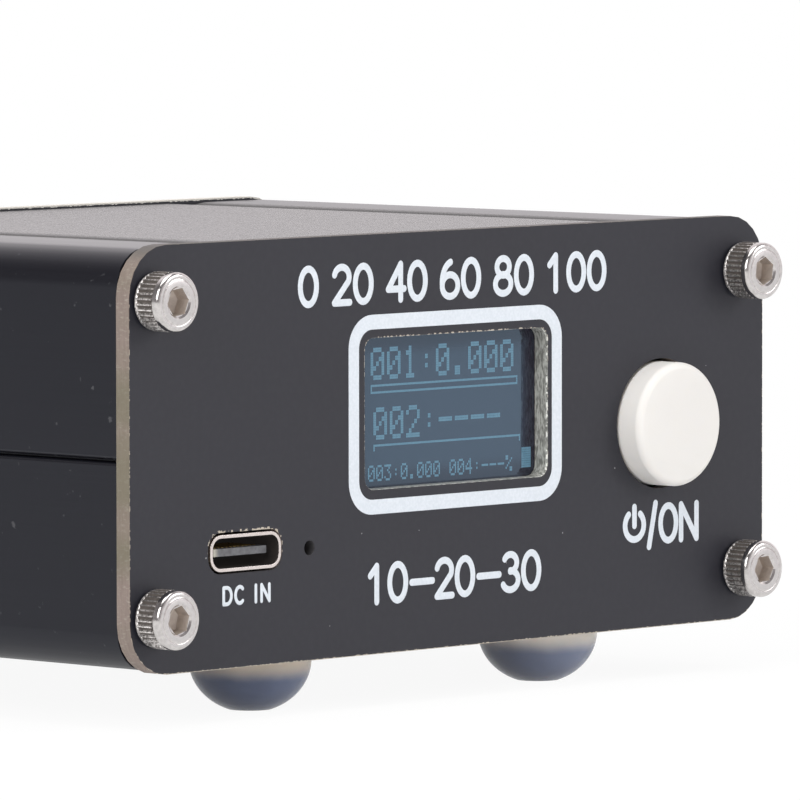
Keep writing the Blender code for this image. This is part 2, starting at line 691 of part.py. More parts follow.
def coupler():
    """The line from socket to socket, with the core that it runs through and its partner."""
    half, bore = CORE_THICKNESS / 2, CORE_OUTER * CORE_BORE_SHARE
    ring = [(CORE_OUTER, half), (CORE_OUTER, -half), (bore, -half), (bore, half)]
    on_edge = (0, math.pi / 2, 0)
    at = (0, LINE_DEPTH, MIDDLE)
    turned("current_core", ring, on_edge, at, FERRITE, closed=True)
    depth = CASE_FRONT + CASE_LENGTH * FLAT_CORE_DEPTH_SHARE
    at = (FLAT_CORE_PLACE_SHARE * BOARD_HALF_WIDTH, depth, BOARD_TOP + SEAT + half)
    turned("voltage_core", ring, FLAT, at, FERRITE, closed=True)
    end, radius = COAX_OFFSET + LINE_OVERLAP, LINE_DIAMETER / 2
    profile = [(0, end), (radius, end), (radius, -end), (0, -end)]
    turned("through_line", profile, on_edge, (0, LINE_DEPTH, MIDDLE), BLACK_PLASTIC, steps=20)


def battery():
    """A flat cell on the lower half's floor, under the main board."""
    outline = rounded_rectangle(BATTERY_WIDTH, BATTERY_LENGTH, BATTERY_CORNER)
    floor = MIDDLE - INSIDE_HEIGHT / 2
    depth = (CASE_FRONT + CASE_BACK) / 2
    at = (0, depth, floor + SEAT + BATTERY_THICKNESS / 2)
    extruded("battery", [outline], BATTERY_THICKNESS, FLAT, at, FOIL)


# Coaxial sockets


def flange_places():
    reach = FLANGE_HOLE_PITCH / 2
    return [(x, z) for z in (reach, -reach) for x in (-reach, reach)]


def socket_body_mesh():
    """Flange, threaded barrel and the spigot behind them, on the axis of the bore."""
    barrel, bore = COAX_BARREL_DIAMETER / 2, COAX_BARREL_BORE / 2
    spigot = COAX_SPIGOT_DIAMETER / 2
    end = COAX_FLANGE_THICKNESS + COAX_BARREL_LENGTH
    profile = [
        (barrel - COAX_BARREL_EDGE, end),
        (barrel, end - COAX_BARREL_EDGE),
        (barrel, COAX_FLANGE_THICKNESS / 2),
        (spigot, COAX_FLANGE_THICKNESS / 2),
        (spigot, -COAX_SPIGOT_LENGTH),
        (bore, -COAX_SPIGOT_LENGTH),
        (bore, end),
    ]
    body = turned("body", profile, FLAT, (0, 0, 0), NICKEL, closed=True, steps=FINE_STEPS)
    outlines = [rounded_rectangle(COAX_FLANGE, COAX_FLANGE, COAX_FLANGE_CORNER)]
    outlines.append(circle((0, 0), (bore + spigot) / 2, FINE_STEPS))
    for place in flange_places():
        outlines.append(circle(place, SCREW_DIAMETER / 2 + PLAY / 2, 16))
    at = (0, 0, COAX_FLANGE_THICKNESS / 2)
    flange = extruded("flange", outlines, COAX_FLANGE_THICKNESS, FLAT, at, NICKEL)
    combine(body, made_solid(flange), "UNION")
    mesh = solid(body)
    bpy.data.objects.remove(body)
    return mesh


def insulator_profile():
    radius, hole = COAX_BARREL_BORE / 2 - SEAT, CONTACT_DIAMETER / 2 + SEAT
    mouth = BARREL_END - FLANGE_BACK
    top, shoulder = mouth - INSULATOR_RECESS, mouth - INSULATOR_SHOULDER
    bottom = INSULATOR_END - FLANGE_BACK
    narrow = [(INSULATOR_COLLAR / 2, top), (INSULATOR_COLLAR / 2, shoulder)]
    return [*narrow, (radius, shoulder), (radius, bottom), (hole, bottom), (hole, top)]


def contact_profile():
    """From the floor of its bore, over the mouth and down the outside."""
    outer, bore = CONTACT_DIAMETER / 2, CONTACT_BORE / 2
    mouth = BARREL_END - CONTACT_RECESS - FLANGE_BACK
    bottom, floor = CONTACT_END - FLANGE_BACK, mouth - CONTACT_BORE_DEPTH
    return [(0, floor), (bore, floor), (bore, mouth), (outer, mouth), (outer, bottom), (0, bottom)]


def pan_screw_profile():
    head, shank = FLANGE_HEAD_DIAMETER / 2, SCREW_DIAMETER / 2
    edge = (head - SCREW_HEAD_EDGE, FLANGE_HEAD_HEIGHT - SCREW_HEAD_EDGE)
    crown = arc(edge, SCREW_HEAD_EDGE, 90, 0, 2)
    end = -FLANGE_SCREW_LENGTH
    return [(0, FLANGE_HEAD_HEIGHT), *crown, (head, 0), (shank, 0), (shank, end), (0, end)]


def coaxial_sockets():
    body = socket_body_mesh()
    for name, side in (("input", -1), ("output", 1)):
        at = (side * COAX_OFFSET, FLANGE_BACK, MIDDLE)
        add_object(f"{name}_socket", body, TO_BACK, at)
        shape = insulator_profile()
        turned(f"{name}_insulator", shape, TO_BACK, at, PTFE, closed=True, steps=PLAIN_STEPS)
        turned(f"{name}_contact", contact_profile(), TO_BACK, at, BRASS)
        flange_fixings(name, side * COAX_OFFSET)


def flange_fixings(name, middle):
    nut = [hexagon(NUT_ACROSS_FLATS), circle((0, 0), SCREW_DIAMETER / 2 + SCREW_PLAY, 16)]
    for number, (x, z) in enumerate(flange_places(), 1):
        head_at = (middle + x, FLANGE_FRONT + SEAT, MIDDLE + z)
        turned(f"{name}_screw_{number}", pan_screw_profile(), TO_BACK, head_at, STEEL, steps=16)
        nut_at = (middle + x, BACK_PANEL_INSIDE - SEAT - NUT_THICKNESS / 2, MIDDLE + z)
        extruded(f"{name}_nut_{number}", nut, NUT_THICKNESS, TO_FRONT, nut_at, STEEL)


# Feet


def feet():
    radius = FOOT_DIAMETER / 2
    flat_angle = math.degrees(math.acos(FOOT_FLAT_SHARE))
    # The dome is an ellipse, cut off where it is as narrow as the flat.
    squash = FOOT_DOME_HEIGHT / math.sin(math.radians(flat_angle))
    unit = arc((0, 0), 1, 0, -flat_angle, CORNER_STEPS)
    dome = [(radius * x, FOOT_DOME_HEIGHT + squash * z) for x, z in unit[:-1]]
    flat = (radius * FOOT_FLAT_SHARE, 0)
    profile = [(0, FOOT_HEIGHT), (radius - FOOT_TOP_DRAFT, FOOT_HEIGHT), *dome, flat, (0, 0)]
    x = PANEL_WIDTH / 2 - FOOT_INSET_SIDE
    depths = (FOOT_DEPTH, BACK_PANEL_OUTSIDE - FOOT_DEPTH)
    places = [(side * x, depth) for depth in depths for side in (-1, 1)]
    for number, (foot_x, depth) in enumerate(places, 1):
        turned(f"foot_{number}", profile, FLAT, (foot_x, depth, 0), RUBBER, steps=PLAIN_STEPS)


clear_scene()
PARTS = new_collection("swr_meter")
CUTTERS = new_collection("cutters")
CUTTERS.hide_render = True
ROOT = bpy.data.objects.new("swr_meter_frame", None)
PARTS.objects.link(ROOT)
ROOT.location = (0, -DEPTH_MIDDLE, 0)

BLACK_BOARD = new_material("black circuit board", (0.065, 0.065, 0.075), 0.45)
ANODISED = new_material("black anodised aluminium", (0.022, 0.022, 0.026), 0.4, 0.6)
STEEL = new_material("stainless steel", (0.62, 0.61, 0.59), 0.25, 1.0)
NICKEL = new_material("nickel plate", (0.66, 0.64, 0.60), 0.22, 1.0)
BRASS = new_material("gilt brass", (0.78, 0.58, 0.27), 0.3, 1.0)
PTFE = new_material("white insulator", (0.85, 0.84, 0.80), 0.5)
GLASS = new_material("display glass", (0.02, 0.03, 0.05), 0.08)
BLUE_BOARD = new_material("blue circuit board", (0.02, 0.06, 0.25), 0.45)
GREEN_BOARD = new_material("green circuit board", (0.02, 0.16, 0.06), 0.45)
BLACK_PLASTIC = new_material("black plastic", (0.02, 0.02, 0.02), 0.5)
IVORY = new_material("ivory plastic", (0.88, 0.87, 0.83), 0.35)
LAMP = new_material("lamp", (0.80, 0.75, 0.60), 0.3)
FERRITE = new_material("ferrite", (0.05, 0.05, 0.055), 0.6)
FOIL = new_material("cell foil", (0.55, 0.56, 0.58), 0.35, 0.8)
RUBBER = new_material("clear rubber", (0.20, 0.23, 0.30), 0.35)

front_panel()
back_panel()
case_half("upper_case", 1)
case_half("lower_case", -1)
panel_screws()
display()
button()
switch()
switch_board()
charging_socket()
charge_lamp()
main_board()
coupler()
battery()
coaxial_sockets()
feet()
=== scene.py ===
"""The looks of a small in-line SWR meter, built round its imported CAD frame."""

import math

import bpy
from mathutils import Matrix, Vector


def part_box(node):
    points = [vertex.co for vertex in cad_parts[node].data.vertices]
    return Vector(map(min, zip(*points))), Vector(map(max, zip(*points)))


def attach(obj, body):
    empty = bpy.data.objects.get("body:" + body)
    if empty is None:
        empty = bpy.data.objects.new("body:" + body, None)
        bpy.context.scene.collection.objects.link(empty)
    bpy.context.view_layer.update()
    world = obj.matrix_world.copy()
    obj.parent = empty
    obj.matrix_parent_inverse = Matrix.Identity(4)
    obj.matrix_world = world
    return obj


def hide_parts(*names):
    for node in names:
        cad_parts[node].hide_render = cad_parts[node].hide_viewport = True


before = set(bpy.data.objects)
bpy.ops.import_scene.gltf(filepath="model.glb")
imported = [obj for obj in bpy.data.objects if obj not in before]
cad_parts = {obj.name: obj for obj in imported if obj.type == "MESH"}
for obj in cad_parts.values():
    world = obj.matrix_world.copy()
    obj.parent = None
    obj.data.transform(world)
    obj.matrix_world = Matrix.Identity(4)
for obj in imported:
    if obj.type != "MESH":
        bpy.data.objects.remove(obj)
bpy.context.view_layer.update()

bpy.context.scene.view_settings.view_transform = "Standard"


# Camera
# A long lens stands about 0.9 m off the front left corner and a little above
# the meter. Its angle was fitted to the panel's corners.

bpy.ops.object.select_all(action="DESELECT")
bpy.ops.object.camera_add(
    location=(-0.61674, -0.61344, 0.08170),
    rotation=(math.radians(90 - 3.7153), math.radians(0.0584), math.radians(-46.6739)),
)
camera = bpy.context.object
camera.data.sensor_width = 36
camera.data.lens = 423.2
camera.data.clip_start = 0.05
bpy.context.scene.camera = camera


# Studio
# A pale sweep of paper under a wide lamp overhead, a soft lamp at the front
# right and a stronger one at the left. The paper fades to plain white.


class Value:
    """An output of a node. Arithmetic on it adds Math nodes to its tree."""

    def __init__(self, nodes, node, output):
        self.nodes, self.node, self.output = nodes, node, output

    def __getitem__(self, name):
        """Another output of the same node."""
        return Value(self.nodes, self.node, self.node.outputs[name])

    def math(self, operation, *others):
        values = dict(enumerate((self, *others)))
        return self.nodes.node("ShaderNodeMath", {"operation": operation}, values)

    def __add__(self, other):
        return self.math("ADD", other)

    def __sub__(self, other):
        return self.math("SUBTRACT", other)

    def __rsub__(self, other):
        return self.nodes.node("ShaderNodeMath", {"operation": "SUBTRACT"}, {0: other, 1: self})

    def __mul__(self, other):
        return self.math("MULTIPLY", other)

    def __pow__(self, other):
        return self.math("POWER", other)

    def __lt__(self, other):
        return self.math("LESS_THAN", other)

    def __gt__(self, other):
        return self.math("GREATER_THAN", other)

    def __abs__(self):
        return self.math("ABSOLUTE")

    __radd__ = __add__
    __rmul__ = __mul__


class Nodes:
    """A node tree, whose nodes are all added by one method."""

    def __init__(self, tree):
        self.tree = tree

    def fill(self, socket, value):
        if isinstance(value, Value):
            self.tree.links.new(value.output, socket)
        elif socket.type == "RGBA":
            socket.default_value = (*value, 1)
        else:
            socket.default_value = value

    def node(self, kind, settings=None, inputs=None, output=None):
        """Adds a node: its settings first, then the values or links of its sockets."""
        node = self.tree.nodes.new(kind)
        for name, value in (settings or {}).items():
            setattr(node, name, value)
        for key, value in (inputs or {}).items():
            found = [s for s in node.inputs if s.enabled and s.name == key]
            self.fill(found[0] if found else node.inputs[key], value)
        outputs = [o for o in node.outputs if o.enabled and output in (None, o.name)]
        return Value(self, node, outputs[0])

    def own(self, name):
        """A node that the tree came with."""
        node = self.tree.nodes[name]
        return Value(self, node, node.outputs[0])

    def show(self, ending, surface):
        """Sends a shader to the tree's output node."""
        self.fill(self.tree.nodes[ending].inputs["Surface"], surface)

    def parts(self, vector):
        """The X, Y and Z of a vector."""
        return self.node("ShaderNodeSeparateXYZ", None, {0: vector})

    def ramp(self, value, low, high, first=0.0, last=1.0):
        """Runs from first to last, smoothly, as value goes from low to high."""
        sockets = {"Value": value, "From Min": low, "From Max": high}
        sockets.update({"To Min": first, "To Max": last})
        return self.node("ShaderNodeMapRange", {"interpolation_type": "SMOOTHSTEP"}, sockets)

    def mix(self, share, first, second):
        """From the first colour to the second one."""
        sockets = {"Factor": share, "A": first, "B": second}
        return self.node("ShaderNodeMix", {"data_type": "RGBA"}, sockets)


class Finish(Nodes):
    """One material. Constants go straight onto its shader's own sockets."""

    def __init__(self, name, **constants):
        self.material = bpy.data.materials.new(name)
        self.material.use_nodes = True
        super().__init__(self.material.node_tree)
        self.place = self.node("ShaderNodeTexCoord", output="Object")
        for socket, value in constants.items():
            self.set(socket.replace("_", " ").title().replace("Ior", "IOR"), value)

    def set(self, name, value):
        self.fill(self.tree.nodes["Principled BSDF"].inputs[name], value)

    def normal(self):
        """The X, Y and Z of the way that the surface faces."""
        return self.parts(self.node("ShaderNodeNewGeometry")["Normal"])

    def noise(self, scale, detail=3, stretch=(1, 1, 1)):
        """Noise from 0 to 1 in the piece's own space, with `scale` features a metre."""
        at = self.node("ShaderNodeMapping", None, {"Vector": self.place, "Scale": stretch})
        sockets = {"Vector": at, "Scale": scale, "Detail": detail}
        return self.node("ShaderNodeTexNoise", None, sockets, "Fac")

    def bump(self, height, depth):
        """Relief on the surface, `depth` metres deep where height runs from 0 to 1."""
        relief = self.node("ShaderNodeBump", None, {"Height": height, "Distance": depth})
        self.set("Normal", relief)


def srgb(*levels):
    """A colour from its levels of 0 to 255, as a picture gives them."""
    shares = [level / 255 for level in levels]
    return tuple(s / 12.92 if s <= 0.04045 else ((s + 0.055) / 1.055) ** 2.4 for s in shares)


paper = Finish("studio_paper", roughness=0.9)
paper.set("Base Color", paper.mix(paper.noise(30), (0.92, 0.92, 0.92), (0.94, 0.94, 0.94)))
rays = paper.node("ShaderNodeLightPath")
seen = rays["Is Camera Ray"] + rays["Is Glossy Ray"] * 0.7 + rays["Is Transmission Ray"]
away = paper.node("ShaderNodeVectorMath", {"operation": "LENGTH"}, {0: paper.place}, "Value")
white = paper.node("ShaderNodeEmission", None, {"Color": (1, 1, 1), "Strength": 1})
fade = paper.ramp(away, 0.05, 0.24, 0.93, 1) * seen.math("MINIMUM", 1)
shaders = {0: fade, 1: paper.own("Principled BSDF"), 2: white}
paper.show("Material Output", paper.node("ShaderNodeMixShader", None, shaders))

bpy.ops.mesh.primitive_circle_add(vertices=96, radius=6, fill_type="NGON")
floor = bpy.context.object
floor.name = "studio_floor"
floor.data.materials.append(paper.material)

world = bpy.data.worlds.new("studio")
bpy.context.scene.world = world
world.use_nodes = True

# The meter mirrors a bright wall behind it and a dimmer one in front.
sky = Nodes(world.node_tree)
rays = sky.node("ShaderNodeLightPath")
way = sky.parts(sky.node("ShaderNodeTexCoord")["Generated"])
behind = sky.ramp(way["Y"] * 0.68 + way["X"] * 0.73, 0.15, 0.5, 0.0, 1.14)
front = sky.ramp(way["Z"], 0.12, 0.75, 1.0, 0.45) * sky.ramp(way["X"], -0.7, 0.3, 0.35, 0.85)
glow = behind.math("MAXIMUM", front).math("MAXIMUM", rays["Is Camera Ray"])
blush = sky.mix(rays["Is Camera Ray"], (1, 0.95, 0.97), (1, 1, 1))
walls = sky.node("ShaderNodeBackground", None, {"Color": blush, "Strength": glow})
plain = sky.own("Background")
sky.fill(plain.node.inputs["Color"], (1, 1, 1))
sky.fill(plain.node.inputs["Strength"], 0.55)
seen = rays["Is Camera Ray"].math("MAXIMUM", rays["Is Glossy Ray"])
seen = seen.math("MAXIMUM", rays["Is Transmission Ray"])
shaders = {0: seen, 1: plain, 2: walls}
sky.show("World Output", sky.node("ShaderNodeMixShader", None, shaders))


def soft_lamp(name, place, size, power):
    """A square lamp that looks at the meter."""
    bpy.ops.object.light_add(type="AREA", location=place)
    lamp = bpy.context.object
    lamp.name = name
    lamp.data.size = size
    lamp.data.energy = power
    lamp.rotation_euler = (Vector(place) * -1).to_track_quat("-Z", "Y").to_euler()


soft_lamp("lamp_overhead", (-0.1, -0.1, 0.9), 0.7, 4.5)
soft_lamp("lamp_right", (0.6, -0.8, 0.5), 0.5, 3.2)
soft_lamp("lamp_left", (-0.9, -0.3, 0.5), 0.6, 6.5)


# Case halves
# Two lengths of black anodised aluminium extrusion that meet at mid-height.
# The top is blasted from hollow to hollow, and die lines run along the rest.


def pick(obj):
    """Selects one piece and nothing else."""
    bpy.ops.object.select_all(action="DESELECT")
    obj.select_set(True)
    bpy.context.view_layer.objects.active = obj


def new_piece(name, data):
    """Puts a mesh or a curve in the scene as a piece, and selects it alone."""
    obj = bpy.data.objects.new(name, data)
    bpy.context.scene.collection.objects.link(obj)
    pick(obj)
    return obj


def copy_of(node, name):
    """A node's solid as a clean mesh of its own, with its flat faces whole again."""
    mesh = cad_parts[node].data.copy()
    mesh.materials.clear()
    obj = new_piece(name, mesh)
    if mesh.has_custom_normals:
        bpy.ops.mesh.customdata_custom_splitnormals_clear()
    bpy.ops.object.mode_set(mode="EDIT")
    bpy.ops.mesh.select_all(action="SELECT")
    bpy.ops.mesh.remove_doubles(threshold=1e-6)
    bpy.ops.mesh.dissolve_limited(angle_limit=math.radians(0.5))
    bpy.ops.object.mode_set(mode="OBJECT")
    return obj


def modify(obj, kind, **settings):
    """Adds a modifier and applies it."""
    bpy.context.view_layer.objects.active = obj
    modifier = obj.modifiers.new(kind, kind)
    for name, value in settings.items():
        setattr(modifier, name, value)
    bpy.ops.object.modifier_apply(modifier=modifier.name)


def round_edges(obj, width, segments=2, angle=35):
    """Breaks every edge sharper than the angle, in degrees."""
    modify(
        obj, "BEVEL", width=width, segments=segments, limit_method="ANGLE",
        angle_limit=math.radians(angle), use_clamp_overlap=True, harden_normals=False,
    )


def coat(obj, *finishes):
    """Lays finishes on a piece. Its faces name theirs by number, from 0."""
    for finish in finishes:
        obj.data.materials.append(finish.material)


def finished(obj, body, nodes=(), angle=32):
    """Applies the piece's place, smooths it and hands it to the frame."""
    pick(obj)
    bpy.ops.object.transform_apply(location=True, rotation=True, scale=True)
    bpy.ops.object.shade_smooth_by_angle(angle=math.radians(angle))
    modify(obj, "WEIGHTED_NORMAL", keep_sharp=True)
    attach(obj, body)
    if nodes:
        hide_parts(*nodes)


CASE_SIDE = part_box("upper_case")[1].x
CASE_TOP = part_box("upper_case")[1].z
BLAST_FROM_SIDE = 0.0112

drawn_black = Finish(
    "drawn_black_anodising", specular_ior_level=0.4, specular_tint=(0.84, 0.87, 1.0),
    coat_roughness=0.3,
)
die_lines = drawn_black.noise(2600, 3, (1, 0.012, 1))
dust = drawn_black.ramp(drawn_black.noise(900, 5), 0.67, 0.73)
cloud = drawn_black.noise(45, 3)
dark = drawn_black.mix(cloud, srgb(6, 6, 12), srgb(10, 10, 17))
drawn_black.set("Base Color", drawn_black.mix(dust * 0.22, dark, srgb(120, 120, 122)))
drawn_black.set("Roughness", 0.3 + die_lines * 0.1)
skyward = drawn_black.ramp(drawn_black.normal()["Z"], 0.75, 0.96, 0, 0.35)
drawn_black.set("Coat Weight", skyward)
drawn_black.bump(die_lines, 0.000006)

blasted_black = Finish("blasted_black_anodising", specular_ior_level=0.9)
grain = blasted_black.noise(3200, 3)
mottle = blasted_black.noise(1100, 3)
blasted_black.set("Base Color", blasted_black.mix(grain, srgb(26, 26, 28), srgb(64, 62, 61)))
facing_left = blasted_black.ramp(-1 * blasted_black.normal()["X"], 0.01, 0.14, 0, 0.6)
blasted_black.set("Roughness", 0.16 + grain * 0.14 + mottle * 0.06 + facing_left)
blasted_black.bump(grain, 0.00019)

for half in ("upper", "lower"):
    case = copy_of(f"{half}_case", f"{half}_case_half")
    round_edges(case, 0.00009)
    coat(case, drawn_black, blasted_black)
    for face in case.data.polygons:
        on_top = face.normal.z > 0.9 and face.center.z > CASE_TOP - 0.0004
        between = abs(face.center.x) < CASE_SIDE - BLAST_FROM_SIDE
        face.material_index = 1 if on_top and between else 0
    finished(case, "housing", [f"{half}_case"])


# Panels
# Two 1.6 mm glass-epoxy boards under black solder mask. Their routed edges are
# bare, and the mask has chipped a little where the router passed.

PANEL_LEFT, PANEL_FRONT, PANEL_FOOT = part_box("front_panel")[0]
PANEL_RIGHT, _, PANEL_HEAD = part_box("front_panel")[1]
PANEL_MIDDLE = (PANEL_FOOT + PANEL_HEAD) / 2
PANEL_CORNER = 0.0045
WINDOW_MIDDLE = PANEL_MIDDLE + 0.0026
WINDOW_WIDTH, WINDOW_HEIGHT, WINDOW_CORNER = 0.02410, 0.01380, 0.0011
WINDOW_FOOT_LIFT = 0.00025  # the routed window is that much shorter than drawn
AROUND = 0.0003  # how near to an opening its own walls and corners lie
SLOT_LOW, SLOT_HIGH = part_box("usb_shell")
SLOT_X, SLOT_Z = (SLOT_LOW.x + SLOT_HIGH.x) / 2, (SLOT_LOW.z + SLOT_HIGH.z) / 2
LAMP_X = sum(corner.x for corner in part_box("charge_lamp")) / 2
LAMP_Z = PANEL_FOOT + 0.01002


def outside(finish, x, z, width, height, corner):
    """Distance outside a rounded rectangle in the panel's plane, less than 0 inside."""
    at = finish.parts(finish.place)
    across = abs(at["X"] - x) - (width / 2 - corner)
    upward = abs(at["Z"] - z) - (height / 2 - corner)
    reach = across.math("MAXIMUM", 0) ** 2 + upward.math("MAXIMUM", 0) ** 2
    inner = across.math("MAXIMUM", upward).math("MINIMUM", 0)
    return reach ** 0.5 + inner - corner


def solder_mask(name, openings, bare_rim=0.0, bare_colour=srgb(178, 168, 154)):
    """Black mask on a board, chipped at its outline and, as far as given, above openings."""
    mask = Finish(name, specular_ior_level=0.42)
    width, height = PANEL_RIGHT - PANEL_LEFT, PANEL_HEAD - PANEL_FOOT
    edge = -1 * outside(mask, 0, PANEL_MIDDLE + 0.00005, width, height, PANEL_CORNER)
    crumbs = mask.noise(2900, 3)
    chipped = edge < mask.ramp(crumbs, 0.5, 0.64, bare_rim, bare_rim + 0.00007)
    for chips, x, z, *sizes in openings:
        edge = outside(mask, x, z + chips, *sizes)
        chipped += edge < mask.ramp(crumbs, 0.42, 0.6, chips * -1.7, 0.00005)
    chipped = chipped.math("MINIMUM", 1)
    flat = {0: mask.place, 1: (1, 0, 1)}
    flat = mask.node("ShaderNodeVectorMath", {"operation": "MULTIPLY"}, flat, "Vector")
    specks = mask.node("ShaderNodeTexVoronoi", None, {"Vector": flat, "Scale": 330}, "Distance")
    lint = (specks < 0.03) * (specks["Color"] > 0.72)
    film = mask.noise(60, 4)
    weave = mask.noise(1500, 2)
    black = mask.mix(film, srgb(25, 25, 34), srgb(32, 32, 41))
    black = mask.mix(mask.ramp(weave, 0.35, 0.75, 0, 0.35), black, srgb(38, 38, 45))
    black = mask.mix(lint * 0.55, black, srgb(190, 190, 192))
    mask.set("Base Color", mask.mix(chipped, black, bare_colour))
    mask.set("Roughness", 0.46 + film * 0.1 + lint * 0.2)
    mask.bump(weave + film * 2, 0.000006)
    return mask


slot_opening = (SLOT_X, SLOT_Z, 0.0093, 0.00365, 0.0015)
window_z = WINDOW_MIDDLE + WINDOW_FOOT_LIFT / 2
window_height = WINDOW_HEIGHT - WINDOW_FOOT_LIFT
window_opening = (0, window_z, WINDOW_WIDTH, window_height, WINDOW_CORNER)
chipped_openings = [(0.00017, *slot_opening), (0.00007, *window_opening)]
front_mask = solder_mask("front_solder_mask", chipped_openings)
back_mask = solder_mask("back_solder_mask", [], 0.00016, srgb(212, 208, 200))

core = Finish("board_core", roughness=0.62)
layers = core.noise(900, 4, (0.55, 7, 0.55))
fibres = core.noise(4600, 3, (1, 0.4, 1))
router = core.noise(150, 2, (1, 0.05, 1))
resin = core.mix(layers, srgb(108, 94, 87), srgb(138, 124, 116))
resin = core.mix(core.ramp(fibres, 0.5, 0.8, 0, 0.4), resin, srgb(167, 163, 153))
resin = core.mix(core.ramp(router, 0.4, 0.6, 0.6, 0), resin, srgb(96, 94, 72))
# Faces that look up are painted: dark grey on the front board as painted shade, near white on the
# back board as a painted highlight.
at_back = core.parts(core.place)["Y"] > 0
top_edge_painted_shade_and_light = core.mix(at_back, srgb(84, 80, 80), srgb(222, 217, 210))
facing_up = core.ramp(core.normal()["Z"], 0.6, 0.99, 0, 0.85)
core.set("Base Color", core.mix(facing_up, resin, top_edge_painted_shade_and_light))
core.bump(fibres + layers, 0.00003)

milled = Finish("milled_core", roughness=0.5)
strands = milled.noise(5200, 4, (1, 1, 0.3))
nicks = milled.noise(2100, 3)
at_front = milled.parts(milled.place)["Y"] < PANEL_FRONT + 0.00022
glassy = milled.ramp(strands, 0.36, 0.64)
glassy = milled.mix(glassy, srgb(106, 106, 101), srgb(172, 172, 166))
dashes = milled.ramp(nicks, 0.5, 0.56) * at_front
milled.set("Base Color", milled.mix(dashes, glassy, srgb(240, 239, 232)))
milled.bump(strands, 0.00002)

# The lamp hole's wall is painted dark grey as painted shade inside the small hole.
hole_wall = Finish("lamp_hole_wall", roughness=0.6)
hole_shade_mottle = hole_wall.noise(2400)
hole_wall.set("Base Color", hole_wall.mix(hole_shade_mottle, srgb(52, 50, 52), srgb(72, 70, 72)))

for side, mask in (("front", front_mask), ("back", back_mask)):
    panel = copy_of(f"{side}_panel", f"{side}_board")
    for vertex in panel.data.vertices:
        below = window_z - vertex.co.z
        if abs(vertex.co.x) < WINDOW_WIDTH / 2 + AROUND and 0 < below < WINDOW_HEIGHT / 2 + AROUND:
            vertex.co.z += WINDOW_FOOT_LIFT
    round_edges(panel, 0.00007)
    coat(panel, mask, core, milled, hole_wall)
    for face in panel.data.polygons:
        x, _, z = face.center
        upward = abs(z - PANEL_MIDDLE) / (PANEL_HEAD - PANEL_MIDDLE)
        at_outline = max(abs(x) / PANEL_RIGHT, upward) > 0.94
        at_window = abs(x) < WINDOW_WIDTH / 2 + AROUND
        at_window = at_window and abs(z - WINDOW_MIDDLE) < WINDOW_HEIGHT / 2 + AROUND
        at_lamp = max(abs(x - LAMP_X), abs(z - LAMP_Z)) < 0.0009
        straight = abs(face.normal.y)
        if straight < 0.1 or (straight < 0.95 and (at_outline or at_window)):
            face.material_index = 3 if at_lamp else 2 if at_window else 1
    finished(panel, "housing", [f"{side}_panel"])


# Printing on the front
# White ink, screened in strokes with round ends: a row of figures along the top,
# one below the window, a legend under the button and one under the socket.


def oval(x, z, width, height, first=90, last=450, steps=30):
    """Points along part of an oval, by its middle, its half sizes and two angles."""
    turns = [math.radians(first + (last - first) * step / steps) for step in range(steps + 1)]
    return [(x + width * math.cos(turn), z + height * math.sin(turn)) for turn in turns]


# Each figure's strokes, in a box one wide and one high.
FIGURES = {
    "0": [oval(0.5, 0.5, 0.5, 0.5)],
    "1": [[(0.1, 0.74), (0.5, 1)], [(0.5, 1), (0.5, 0)]],
    "2": [oval(0.5, 0.72, 0.46, 0.28, 165, -28) + [(0.04, 0)], [(0.04, 0), (1, 0)]],
    "3": [oval(0.47, 0.76, 0.41, 0.24, 150, -90), oval(0.47, 0.27, 0.5, 0.27, 90, -155)],
    "4": [[(0.78, 0), (0.78, 1)], [(0.78, 1), (0, 0.3)], [(0, 0.3), (1, 0.3)]],
    "6": [oval(0.5, 0.31, 0.5, 0.31), oval(0.72, 0.4, 0.72, 0.6, 105, 190)],
    "8": [oval(0.5, 0.76, 0.4, 0.24), oval(0.5, 0.27, 0.5, 0.27)],
    "-": [[(0.05, 0.46), (1.05, 0.46)]],
    "/": [[(0, -0.14), (1, 1.1)]],
    "C": [oval(0.55, 0.5, 0.55, 0.5, 48, 312)],
    "D": [[(0, 0), (0, 1)], [(0, 1), (0.4, 1)] + oval(0.4, 0.5, 0.58, 0.5, 90, -90) + [(0, 0)]],
    "I": [[(0.5, 0), (0.5, 1)]],
    "N": [[(0, 0), (0, 1)], [(0, 1), (1, 0)], [(1, 0), (1, 1)]],
    "O": [oval(0.5, 0.5, 0.5, 0.5)],
    "power": [oval(0.5, 0.508, 0.49, 0.404, 128, 412), [(0.5, 0.5), (0.5, 1.035)]],
}
FIGURE_WIDTHS = {" ": 0.25, "I": 0.3, "/": 0.28, "-": 0.85, "power": 0.82}
PEN_ENDS = ((1, 0.02), (0.94, 0.34), (0.77, 0.64), (0.5, 0.87))  # how far out, how wide
INK_HEIGHT = 0.000022

ink = Finish("white_ink", roughness=0.6)
edge_wear = ink.noise(4200, 3)
worn = ink.ramp(edge_wear, 0.35, 0.7)
ink.set("Base Color", ink.mix(worn, srgb(204, 210, 217), srgb(212, 217, 224)))
ink.bump(edge_wear, 0.000008)


def draw(curve, points, pen):
    """One stroke as a round bead whose ends close to a point."""
    path = [Vector((x, 0, z)) for x, z in points]
    ends = []
    for tip, behind in ((path[0], path[1]), (path[-1], path[-2])):
        out = (tip - behind).normalized() * pen / 2
        ends.append([(tip + out * reach, width) for reach, width in PEN_ENDS])
    beads = ends[0] + [(point, 1) for point in path] + ends[1][::-1]
    spline = curve.splines.new("POLY")
    spline.points.add(len(beads) - 1)
    for point, (place, width) in zip(spline.points, beads):
        point.co = (*place, 1)
        point.radius = width


